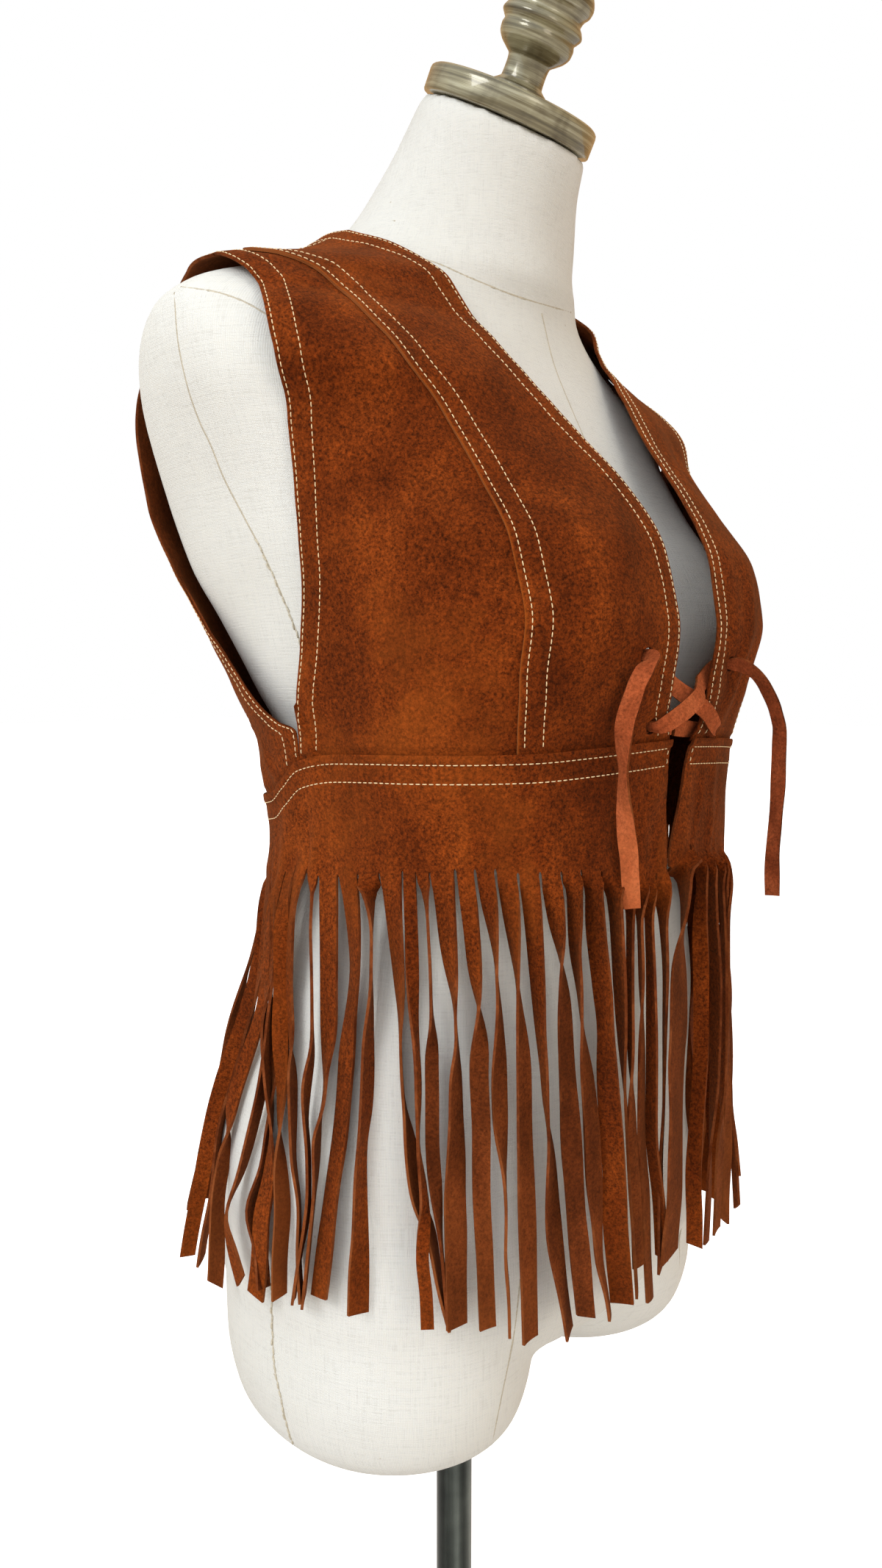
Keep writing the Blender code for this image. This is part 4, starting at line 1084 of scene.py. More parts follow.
def seam_of(p, n, step, off):
    p = p - np.array([0, 0, WAIST_HEIGHT])
    for _ in range(3):
        n[1:-1] = unit(n[:-2] + n[1:-1] + n[2:])
        p[1:-1] = 0.25 * p[:-2] + 0.5 * p[1:-1] + 0.25 * p[2:]
    s = np.concatenate([[0], np.cumsum(np.linalg.norm(np.diff(p, axis=0), axis=1))])
    at = np.linspace(0, s[-1], max(3, int(s[-1] / step)))
    p = np.stack([np.interp(at, s, p[:, k]) for k in range(3)], -1)
    n = unit(np.stack([np.interp(at, s, n[:, k]) for k in range(3)], -1))
    return p + n * off, n


def welt(name, rows, mat, width=0.55, proud=0.28):
    """A seam as it shows on the cover: two edges of cloth meeting in a low rounded ridge."""
    prof = np.array([(-1.9, -0.12), (-1.1, 0.3), (-0.45, 0.95), (-0.1, 0.45), (0.1, 0.45), (0.45, 0.95), (1.1, 0.3),
                     (1.9, -0.12), (0.0, -1.3)])
    verts, faces, count = [], [], 0
    for p, n in rows:
        t = unit(np.gradient(p, axis=0))
        b = np.cross(n, t)
        ring = p[:, None] + b[:, None] * (prof[:, 0] * width)[None, :, None] + n[:, None] * (prof[:, 1] * proud)[None, :, None]
        k = len(prof)
        verts.append(ring.reshape(-1, 3))
        for i in range(len(p) - 1):
            for j in range(k):
                q, w = count + i * k + j, count + i * k + (j + 1) % k
                faces.append((q, q + k, w + k, w))
        faces.append(tuple(count + j for j in range(k)))
        faces.append(tuple(count + (len(p) - 1) * k + j for j in range(k - 1, -1, -1)))
        count += len(p) * k
    ob = mesh_object(name, np.concatenate(verts), faces, [mat])
    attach(ob, "root")
    return ob


ARM_SEAM = [(237, 398), (241, 455), (253, 518), (272, 575), (286, 604), (303, 647), (327, 694), (355, 747), (375, 790),
            (408, 871), (440, 950)]
NECK_SEAM = [(520, 338), (552, 347), (586, 355), (640, 378), (700, 402), (777, 425)]
FRONT_SEAM = [(737, 426), (752, 490), (775, 550), (793, 592), (830, 690), (868, 800)]
OVER_SEAM = [(246, 390), (289, 396), (327, 408), (370, 432)]
HIP_SEAM = [(372, 1700), (370, 1763), (373, 1858), (379, 1887), (391, 1940), (402, 1975)]
LEG_SEAM = [(708, 1740), (700, 1810), (683, 1897), (668, 1971)]
seen = {k: on_body(v) for k, v in {"arm": ARM_SEAM, "neck": NECK_SEAM, "front": FRONT_SEAM, "over": OVER_SEAM,
                                    "hip": HIP_SEAM, "leg": LEG_SEAM}.items()}


def mirrored(row):
    return round_body(row[0][::3] * np.array([-1, 1, 1]))


back_seam = round_body([(0, 40, 400), (0, 70, 350), (0, 105, 270), (0, 103, 190), (0, 80, 100), (0, 62, 20), (0, 84, -60),
                        (0, 100, -150), (0, 92, -200)])
neck_back = round_body([(-62, -12, 372), (-55, 26, 372), (-30, 50, 374), (0, 56, 375), (30, 50, 374), (55, 26, 372),
                        (62, -12, 372), (50, -52, 356)])
side_left = round_body([(186, 14, 310), (184, 22, 270), (170, 22, 225), (152, 12, 170), (134, -6, 110), (122, -20, 30),
                        (134, -14, -40), (158, -10, -110), (162, -10, -180)])
welt("form_seams", [seen["neck"], seen["front"], seen["over"], seen["hip"], seen["leg"], mirrored(seen["over"]),
                    mirrored(seen["hip"]), mirrored(seen["leg"]), back_seam, neck_back, side_left], SEAM_MAT, 0.30, 0.14)
welt("form_arm_seam", [seen["arm"]], SEAM_MAT, 0.34, 0.16)
stitch_mesh("form_hand_stitches", [(seen["arm"][0][60:], seen["arm"][1][60:]), side_left, seen["hip"]], HAND_THREAD_MAT,
            pitch=4.4, length=3.8, radius=0.46, lift=0.34, wander=0.6)

# ------------------------------------------------------------------ turned work
CAP_PROFILE = [(0, CAP_RADIUS - 1.2), (0.35, CAP_RADIUS - 0.4), (1.2, CAP_RADIUS), (5.5, CAP_RADIUS), (11.0, CAP_RADIUS),
               (12.6, CAP_RADIUS - 0.35), (13.5, CAP_RADIUS - 1.2), (14.2, CAP_RADIUS - 2.4), (CAP_THICK, CAP_RADIUS - 4.0),
               (CAP_THICK, CAP_RADIUS - 20.0)]
FINIAL_PROFILE = [
    (0.0, 15.6), (1.6, 16.4), (3.8, 16.0), (6.0, 13.4), (7.6, 11.8), (14.0, 11.5), (18.0, 11.9),
    (20.5, 14.6), (23.5, 18.2), (27.0, 20.3), (30.0, 20.6), (32.4, 20.0), (34.2, 21.2), (36.6, 22.6),
    (39.0, 21.6), (41.6, 19.8), (44.6, 20.6), (47.6, 22.8), (50.6, 23.4), (54.0, 22.4), (58.0, 19.4),
    (61.0, 15.2), (63.0, 9.0), (63.8, 3.0),
]


def fine_profile(rows, step=0.6):
    p = np.array(rows, float)
    s = np.concatenate([[0], np.cumsum(np.linalg.norm(np.diff(p, axis=0), axis=1))])
    at = np.linspace(0, s[-1], int(s[-1] / step) + 1)
    return np.stack([smooth(s, p[:, k], at) for k in range(2)], -1)


def turned(name, node, profile, seat, tilt_deg, mat, segments=96, hollow=False, sharp=50):
    a = np.linspace(0, 2 * math.pi, segments, endpoint=False)
    verts = [(r * MM * math.cos(t), r * MM * math.sin(t), h * MM) for h, r in profile for t in a]
    bands = len(profile) if hollow else len(profile) - 1
    faces = []
    for i in range(bands):
        low, high = i * segments, (i + 1) % len(profile) * segments
        for j in range(segments):
            k = (j + 1) % segments
            faces.append((low + j, low + k, high + k, high + j))
    if not hollow:
        faces.append(tuple(range(segments - 1, -1, -1)))
        faces.append(tuple((len(profile) - 1) * segments + j for j in range(segments)))
    me = bpy.data.meshes.new(name)
    me.from_pydata(verts, [], faces)
    me.materials.append(mat)
    bm = bmesh.new()
    bm.from_mesh(me)
    bmesh.ops.recalc_face_normals(bm, faces=bm.faces)
    bm.to_mesh(me)
    bm.free()
    me.shade_smooth()
    me.set_sharp_from_angle(angle=math.radians(sharp))
    ob = bpy.data.objects.new(name, me)
    bpy.context.scene.collection.objects.link(ob)
    ob.location = world(seat)
    ob.rotation_euler = (math.radians(tilt_deg), 0, 0)
    bpy.context.view_layer.update()
    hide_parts(node)
    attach(ob, "root")
    return ob


NECK_TILT = FORM_ROWS[-1][7]
neck_axis = np.array([0, -math.sin(math.radians(NECK_TILT)), math.cos(math.radians(NECK_TILT))])
neck_top = np.array([0, FORM_ROWS[-1][4], FORM_ROWS[-1][0]], float)
cap_seat = neck_top + 0.3 * neck_axis
turned("neck_cap", "form_neck_cap", CAP_PROFILE, cap_seat, NECK_TILT, VARNISH_MAT, 128)
turned("finial", "form_finial", fine_profile(FINIAL_PROFILE), cap_seat + (CAP_THICK + 0.3) * neck_axis, NECK_TILT,
       VARNISH_MAT, 96)
turned("pole", "form_pole", [(0, POLE_RADIUS - 0.6), (0.6, POLE_RADIUS), (POLE_TOP - FLOOR - BASE_THICK - 0.9, POLE_RADIUS),
                             (POLE_TOP - FLOOR - BASE_THICK - 0.3, POLE_RADIUS - 0.6)],
       (0, 0, FLOOR + BASE_THICK + 0.3), 0, STEEL_MAT, 64, sharp=30)
turned("base", "form_base", [(0, BASE_RADIUS - 1.5), (0.5, BASE_RADIUS - 0.4), (1.5, BASE_RADIUS), (BASE_THICK - 4.0, BASE_RADIUS),
                             (BASE_THICK - 1.8, BASE_RADIUS - 0.9), (BASE_THICK - 0.5, BASE_RADIUS - 2.4),
                             (BASE_THICK, BASE_RADIUS - 4.6), (BASE_THICK, BASE_RADIUS - 70.0)],
       (0, 0, FLOOR), 0, PLATE_MAT, 160)
turned("collar", "form_collar", [(0, POLE_RADIUS + 0.4), (0, COLLAR_RADIUS - 0.5), (0.5, COLLAR_RADIUS),
                                 (COLLAR_HEIGHT - 3.4, COLLAR_RADIUS), (COLLAR_HEIGHT - 1.2, COLLAR_RADIUS - 0.9),
                                 (COLLAR_HEIGHT, COLLAR_RADIUS - 3.2), (COLLAR_HEIGHT, POLE_RADIUS + 0.4)],
       (0, 0, FLOOR + BASE_THICK + 0.3), 0, PLATE_MAT, 96, hollow=True)


# ------------------------------------------------------ bands cut into fringe
FRINGE_END = -178.0
FRINGE_ROWS = 50
DOWN = np.concatenate([[0, 0.004, 0.010, 0.018, 0.03, 0.045], np.linspace(0.065, 1, FRINGE_ROWS - 5)])
BAND_NEAR = np.array([-1.6, -1.1, -0.5, 0.2, 1.0, 1.9, 2.6, 3.2, 3.8, 4.8, 6.5, 8.5, 10.4, 11.4, 12.0, 12.6, 13.6, 15.5])


def fold_angle(phi):
    """Degrees from the centre front, 0 to 180, of any angle."""
    return 180.0 - np.abs(np.abs(phi) % 360.0 - 180.0)


def band_height(d, edge, slit_near, p, level, phi):
    """Lapped over the bodice and doubled at its top, fluted towards the slits."""
    h = 1.05 * (1 - ease(d, 1.5, 5.0)) + 0.4 * (1 - ease(d, 12.2, 14.4)) + groove(d, 3.0) + groove(d, 12.0)
    h = h - 0.5 * np.exp(-np.clip(d + 1.6, 0, None) / 0.4) + slit_near
    return h + creased(p)


# Strands of the near front: where they stand in the picture, top to bottom, as
# (y, left, right, face), face f for the grain side, b for a strand turned over.
NEAR_SLITS = [(388, 1196), (409, 1179), (433, 1191), (459, 1190), (486, 1186), (514.6, 1184), (546, 1183), (564, 1186),
              (584, 1188), (619, 1184), (647, 1182), (675, 1184), (705, 1186), (736, 1184), (765.5, 1186), (792, 1184),
              (817.5, 1182), (847.5, 1184), (862, 1190), (880, 1184), (893, 1186)]
NEAR_STRANDS = [
    # 388-409
    dict(keys=[(1230, 391, 401, "f"), (1290, 386, 398, "f"), (1340, 384, 397, "f"), (1400, 386, 400, "f"),
               (1460, 388, 403, "b"), (1520, 390, 404, "b"), (1570, 392, 402, "b"), (1640, 402, 409, "b"),
               (1700, 400, 408, "b")], end=1764, cut=4),
    # 409-433
    dict(keys=[(1204, 421, 427, "e"), (1260, 417, 424, "e"), (1316, 419, 425, "e"), (1389, 420, 426, "e"),
               (1429, 419, 427, "b"), (1457, 410, 426, "b"), (1493, 407, 421, "b"), (1527, 410, 417, "b"),
               (1558, 413, 421, "b"), (1628, 414, 422, "b"), (1658, 410, 421, "b"), (1704, 403, 411, "b")], end=1770,
         cut=0, near=2),
    # 433-459
    dict(keys=[(1300, 433, 459, "f"), (1401, 433, 459, "f"), (1429, 435, 452, "f"), (1457, 437, 445, "f"),
               (1485, 437, 444, "e"), (1513, 433, 438, "e"), (1541, 421, 438, "b"), (1584, 422, 436, "b"),
               (1628, 422, 429, "b"), (1653, 419, 427, "b"), (1730, 411, 419, "b")], end=1770, cut=2),
    # 459-486
    dict(keys=[(1232, 466, 489, "f"), (1288, 472, 490, "f"), (1316, 474, 489, "f"), (1345, 472, 487, "f"),
               (1387, 466, 484, "f"), (1429, 459, 483, "f"), (1500, 455, 476, "f"), (1551, 450, 471, "f"),
               (1602, 443, 462, "f"), (1653, 436, 456, "f"), (1704, 428, 452, "f")], end=1765, cut=-3),
    # 486-514.6
    dict(keys=[(1213, 494, 512, "f"), (1238, 501, 512, "f"), (1260, 504, 511, "e"), (1330, 503, 511, "e"),
               (1373, 500, 511, "f"), (1415, 494, 511, "f"), (1457, 492, 512, "f"), (1513, 489, 510, "f"),
               (1551, 487, 503, "f"), (1602, 482, 502, "f"), (1679, 479, 504, "f"), (1730, 474, 505, "f")], end=1788,
         cut=2, sign=-1),
    # 514.6-546
    dict(keys=[(1232, 521, 546, "f"), (1288, 527, 548, "f"), (1316, 531, 549, "f"), (1345, 534, 549, "f"),
               (1373, 538, 548, "f"), (1401, 539, 546, "e"), (1457, 541, 547, "e"), (1513, 545, 552, "e"),
               (1551, 547, 564, "b"), (1589, 550, 571, "b"), (1628, 556, 574, "b"), (1680, 578, 592, "b"),
               (1740, 590, 600, "b")], end=1803, cut=0, near=-3),
    # 546-564
    dict(keys=[(1260, 549, 570, "f"), (1316, 552, 571, "f"), (1387, 559, 571, "f"), (1429, 564, 573, "f"),
               (1485, 566, 576, "f"), (1558, 566, 575, "e"), (1602, 571, 581, "f"), (1653, 573, 587, "f"),
               (1679, 566, 587, "f"), (1717, 562, 586, "f"), (1755, 566, 593, "f")], end=1809, cut=0, sign=-1, near=4),
    # 564-584
    dict(keys=[(1210, 570, 582, "f"), (1232, 575, 582, "e"), (1260, 577, 583, "e"), (1316, 579, 587, "e"),
               (1373, 581, 588, "e"), (1415, 580, 593, "b"), (1443, 576, 597, "b"), (1471, 576, 600, "b"),
               (1558, 575, 601, "b"), (1602, 581, 600, "b"), (1653, 589, 600, "b"), (1704, 595, 603, "e")], end=1804,
         cut=0, near=1),
    # 584-619
    dict(keys=[(1232, 590, 619, "f"), (1274, 594, 621, "f"), (1316, 601, 622, "f"), (1345, 608, 622, "f"),
               (1373, 613, 621, "e"), (1401, 615, 621, "e"), (1423, 616, 623, "e"), (1443, 611, 625, "b"),
               (1471, 608, 628, "b"), (1513, 608, 629, "b"), (1576, 605, 633, "b"), (1628, 602, 633, "b"),
               (1679, 603, 635, "b"), (1730, 604, 634, "b")], end=1804, cut=0),
    # 619-647
    dict(keys=[(1204, 621, 648, "f"), (1260, 628, 652, "f"), (1302, 632, 655, "f"), (1330, 636, 655, "f"),
               (1358, 643, 653, "f"), (1373, 646, 653, "e"), (1387, 645, 655, "b"), (1415, 641, 663, "b"),
               (1457, 636, 667, "b"), (1541, 641, 669, "b"), (1605, 641, 668, "b"), (1657, 642, 671, "b"),
               (1709, 646, 672, "b"), (1761, 648, 674, "b")], end=1806, cut=1, near=1),
    # 647-675
    dict(keys=[(1232, 653, 677, "f"), (1260, 660, 677, "f"), (1288, 666, 677, "f"), (1316, 670, 677, "e"),
               (1344, 671, 678, "e"), (1373, 673, 681, "b"), (1401, 671, 684, "b"), (1429, 669, 687, "b"),
               (1457, 666, 690, "b"), (1513, 667, 691, "b"), (1541, 670, 690, "b"), (1578, 678, 688, "b"),
               (1605, 682, 687, "e"), (1657, 684, 690, "e"), (1709, 682, 689, "e"), (1761, 686, 694, "e")], end=1814, cut=0,
         near=-1),
    # 675-705
    dict(keys=[(1232, 680, 707, "f"), (1260, 684, 708, "f"), (1288, 690, 707, "f"), (1316, 695, 706, "f"),
               (1344, 700, 706, "e"), (1373, 700, 709, "b"), (1401, 700, 715, "b"), (1457, 700, 723, "b"),
               (1541, 701, 724, "b"), (1605, 702, 727, "b"), (1657, 703, 729, "b"), (1761, 707, 730, "b")], end=1822, cut=1),
    # 705-736
    dict(keys=[(1232, 709, 737, "f"), (1288, 714, 740, "f"), (1344, 719, 742, "f"), (1401, 725, 742, "f"),
               (1457, 732, 745, "f"), (1513, 737, 746, "f"), (1541, 742, 748, "e"), (1578, 742, 754, "b"),
               (1631, 740, 759, "b"), (1683, 741, 765, "b"), (1735, 752, 769, "b"), (1788, 763, 775, "b")], end=1814, cut=2,
         near=-1),
    # 736-765.5
    dict(keys=[(1232, 740, 768, "f"), (1260, 744, 769, "f"), (1288, 753, 768, "f"), (1311, 758, 765, "e"),
               (1330, 759, 768, "b"), (1358, 757, 775, "b"), (1387, 756, 778, "b"), (1457, 758, 782, "b"),
               (1513, 760, 788, "b"), (1552, 761, 792, "b"), (1605, 766, 793, "b"), (1657, 770, 796, "b"),
               (1709, 774, 803, "b"), (1761, 780, 806, "b")], end=1790, cut=-6, near=3),
    # 765.5-792
    dict(keys=[(1204, 768, 792, "f"), (1260, 770, 792, "f"), (1288, 771, 789, "f"), (1316, 775, 791, "f"),
               (1344, 781, 792, "f"), (1373, 785, 792, "f"), (1401, 787, 793, "e"), (1429, 787, 798, "b"),
               (1457, 787, 805, "b"), (1513, 791, 812, "b"), (1541, 792, 815, "b"), (1605, 795, 818, "b"),
               (1657, 803, 818, "b"), (1709, 807, 818, "b"), (1761, 820, 827, "e")], end=1788, cut=0, near=0),
    # 792-817.5
    dict(keys=[(1204, 794, 819, "f"), (1260, 794, 824, "f"), (1344, 803, 833, "f"), (1401, 810, 835, "f"),
               (1457, 809, 841, "f"), (1541, 814, 848, "f"), (1605, 819, 851, "f"), (1657, 818, 855, "f"),
               (1709, 822, 859, "f"), (1761, 828, 862, "f")], end=1774, cut=0, near=3),
    # 817.5-847.5
    dict(keys=[(1204, 820, 847, "f"), (1260, 827, 848, "f"), (1316, 830, 851, "f"), (1401, 836, 852, "f"),
               (1457, 842, 850, "f"), (1499, 846, 852, "e"), (1600, 850, 858, "e"), (1700, 857, 865, "e")], end=1756, cut=0,
         near=-4),
    # 847.5-862
    dict(keys=[(1241, 850, 862, "f"), (1320, 850, 861, "f"), (1420, 851, 862, "f"), (1541, 850, 865, "b"),
               (1640, 856, 872, "b")], end=1722, cut=0, near=0),
    # 862-880
    dict(keys=[(1241, 864, 873, "f"), (1320, 866, 876, "f"), (1430, 866, 876, "b"), (1541, 865, 876, "b"),
               (1640, 872, 883, "b"), (1700, 873, 884, "b")], end=1768, cut=-4, near=-2),
    # 880-893
    dict(keys=[(1241, 875, 888, "f"), (1320, 877, 891, "f"), (1430, 877, 894, "f"), (1541, 876, 894, "f"),
               (1640, 886, 905, "f")], end=1712, cut=0, near=1),
    # 893-908.6
    dict(keys=[(1241, 893, 908, "f"), (1320, 899, 909, "f"), (1404, 899, 906, "f"), (1500, 897, 905, "e"),
               (1600, 893, 900, "b"), (1680, 893, 903, "b")], end=1722, cut=3, near=-2),
]
FAR_STRANDS = [  # the far front, from its open edge round to where it turns out of sight
    dict(keys=[(1180, 911, 946, "f"), (1229, 924, 938, "f"), (1266, 922, 931, "e"), (1316, 911, 933, "b"), (1400, 909, 934, "b"),
               (1443, 907, 930, "b"), (1513, 909, 927, "b"), (1560, 907, 927, "b"), (1631, 905, 927, "b"), (1680, 898, 923, "b")],
         end=1709, cut=3, near=5, tone=0.10),
    dict(keys=[(1190, 947, 962, "f"), (1260, 941, 962, "f"), (1330, 941, 967, "f"), (1400, 942, 966, "f"), (1470, 940, 962, "f"),
               (1540, 935, 957, "f"), (1605, 929, 957, "f"), (1660, 930, 960, "f")], end=1695, cut=3, tone=-0.12),
    dict(keys=[(1190, 959, 974, "f"), (1260, 960, 977, "f"), (1330, 964, 982, "f"), (1470, 963, 978, "f"), (1560, 959, 970, "e"), (1640, 957, 966, "b")],
         end=1690, cut=-2, tone=-0.08),
    dict(keys=[(1190, 974, 983, "f"), (1330, 979, 989, "f"), (1470, 975, 988, "f"), (1560, 972, 985, "b"), (1640, 969, 980, "b")],
         end=1674, cut=2, tone=-0.05),
    dict(keys=[(1190, 982, 989, "f"), (1330, 985, 992, "f"), (1470, 983, 993, "b"), (1560, 981, 995, "b"), (1630, 979, 991, "b")],
         end=1661, cut=-2),
    dict(keys=[(1250, 985, 991, "f"), (1330, 987, 992, "e"), (1440, 987, 996, "b"), (1500, 989, 995, "e"), (1560, 991, 1002, "f")],
         end=1641, cut=-4, end_x=1001),
    dict(keys=[(1250, 987, 992, "f"), (1330, 988, 993, "e"), (1500, 992, 996, "e"), (1550, 993, 1003, "f")], end=1594, cut=4,
         end_x=1002, tone=0.05),
]
BACK_STRANDS = [  # the last of the back's, towards the near side seam: outermost in the picture first
    dict(keys=[(1225, 350, 368, "f"), (1295, 344, 366, "f"), (1330, 336, 355, "f"), (1400, 316, 338, "f"), (1470, 291, 315, "f"),
               (1540, 274, 296, "f"), (1610, 261, 285, "f"), (1680, 247, 272, "f")], end=1709, cut=-2, end_x=255, tone=0.06),
    dict(keys=[(1300, 350, 362, "f"), (1400, 330, 341, "b"), (1470, 310, 321, "b"), (1540, 291, 303, "b"), (1610, 284, 298, "b"),
               (1680, 270, 283, "b")], end=1714, cut=3, tone=-0.12),
    dict(keys=[(1300, 356, 368, "f"), (1380, 345, 360, "f"), (1435, 326, 345, "f"), (1505, 305, 323, "f"), (1575, 293, 314, "b"),
               (1645, 284, 304, "b"), (1715, 282, 306, "b")], end=1747, cut=-5, tone=-0.05),
    dict(keys=[(1300, 362, 374, "f"), (1400, 358, 372, "b"), (1470, 348, 365, "b"), (1540, 332, 350, "b"), (1597, 318, 333, "b"),
               (1655, 299, 310, "e"), (1700, 306, 322, "f")], end=1743, cut=-3, end_x=326, near=5, tone=-0.02),
    dict(keys=[(1250, 366, 374, "f"), (1360, 372, 384, "f"), (1435, 365, 380, "f"), (1520, 360, 372, "b"), (1575, 352, 372, "b"),
               (1645, 330, 346, "b"), (1700, 344, 362, "b")], end=1753, cut=2, end_x=357, tone=-0.10),
    dict(keys=[(1240, 360, 376, "f"), (1320, 354, 372, "f"), (1400, 352, 368, "b"), (1470, 356, 370, "b"), (1540, 362, 372, "e"),
               (1600, 356, 374, "f"), (1660, 342, 366, "f"), (1715, 340, 364, "f")], end=1764, cut=2, near=4, tone=0.0),
    dict(keys=[(1211, 382, 393, "f"), (1260, 371, 394, "f"), (1330, 371, 396, "f"), (1400, 368, 393, "f"), (1470, 374, 391, "f"),
               (1540, 374, 382, "e"), (1590, 370, 390, "b"), (1645, 372, 395, "b"), (1715, 368, 390, "b")], end=1764, cut=2, near=3,
         tone=0.05),
]


def turned_by(keys, width, y_slit, first, sign):
    """Twist in radians at each key of a strand, from how wide it looks."""
    ys, tw = [y_slit], [first]
    for y, xl, xr, face, depth in keys:
        full = width * FOCAL / depth
        w = min(1.0, max(0.0, (xr - xl) - 3.6 * math.sqrt(max(0.0, 1 - min(1, (xr - xl) / full) ** 2))) / full)
        t = math.acos(w)
        if face == "b":
            t = math.pi - t
        elif face == "e":
            t = math.pi / 2
        ys.append(y)
        tw.append(sign * t)
    return np.array(ys, float), np.array(tw)


def ribbon(centre, across, width, taper, curl, thick_noise, cut, cols=5):
    """Rows of points across a strand, from its middle line and the way its width lies."""
    t = unit(np.gradient(centre, axis=0))
    across = unit(across - (across * t).sum(-1, keepdims=True) * t)
    n = unit(np.cross(across, t))
    x = np.linspace(-0.5, 0.5, cols)
    w = (width * taper)[:, None]
    side = x[None, :] * w
    bow = (curl * thick_noise)[:, None] * (0.25 - x[None, :] ** 2) * 4
    p = centre[:, None] + across[:, None] * side[..., None] - n[:, None] * (bow * 0.5)[..., None]
    drop = np.zeros((len(centre), cols))
    drop[-1] = cut * x
    drop[-2] = 0.6 * cut * x
    return p + t[:, None] * drop[..., None]


def seen_strand(spec, pa, pb, tone_seed):
    """A strand placed by the picture: its middle line is cast on the vest's surface."""
    rng = np.random.default_rng(tone_seed)
    width = np.linalg.norm(pb - pa)
    mid = (pa + pb) / 2
    q = project(mid)
    keys, near = spec["keys"], spec.get("near", 0.0)
    ks = []
    for y, xl, xr, face in keys:
        depth, _, _ = look((xl + xr) / 2, y, 1.0, 6.1)
        ks.append((y, xl, xr, face, depth))
    ky = np.array([q[1]] + [k[0] for k in ks] + [spec["end"]], float)
    kx = np.array([q[0]] + [(k[1] + k[2]) / 2 for k in ks], float)
    slope = (kx[-1] - kx[-3]) / (ky[-2] - ky[-4])
    kx = np.append(kx, spec.get("end_x", kx[-1] + slope * (ky[-1] - ky[-2])))
    y = q[1] + (spec["end"] - q[1]) * DOWN
    x = smooth(ky, kx, y)
    for _ in range(2):
        x[1:-1] = 0.25 * x[:-2] + 0.5 * x[1:-1] + 0.25 * x[2:]
    depth = np.array([look(a, b, 1.0, 6.1)[0] for a, b in zip(x[::4], y[::4])])
    fit = np.polyfit(y[::4] - y[0], depth - depth[0], 4)
    d = np.polyval(fit, y - y[0]) - fit[-1] + q[2]
    s = (y - y[0]) / FOCAL * q[2]
    d = d - near * ease(s, 20, 90)
    centre = CAM_AT + ray(x, y) * d[:, None]
    view_dir = unit((ray(x, y)) * np.array([1, 1, 0]))
    right = np.cross(view_dir, np.array([0, 0, 1.0]))
    toward = -view_dir
    a0 = unit(pb - pa)
    first = math.atan2(a0 @ toward[0], a0 @ right[0])
    ty, tw = turned_by(ks, width, q[1], first, spec.get("sign", 1))
    ty, tw = np.append(ty, spec["end"] + 30), np.append(tw, tw[-1])
    twist = smooth(ty, tw, y)
    for _ in range(3):
        twist[1:-1] = 0.25 * twist[:-2] + 0.5 * twist[1:-1] + 0.25 * twist[2:]
    across = np.cos(twist)[:, None] * right + np.sin(twist)[:, None] * toward
    start = (1 - ease(s, 1, 11))[:, None]
    across = unit(across * (1 - start) + a0 * start)
    curl = rng.uniform(-0.9, 0.9) * ease(s, 8, 50) * (1 + 0.4 * np.sin(s / 17 + rng.uniform(0, 6)))
    taper = 1 + 0.04 * np.sin(s / 31 + rng.uniform(0, 6)) * ease(s, 5, 60) - 0.075 * (1 - np.exp(-s / 0.8))
    return ribbon(centre, across, width, taper, curl, np.ones(len(s)), spec.get("cut", 0))


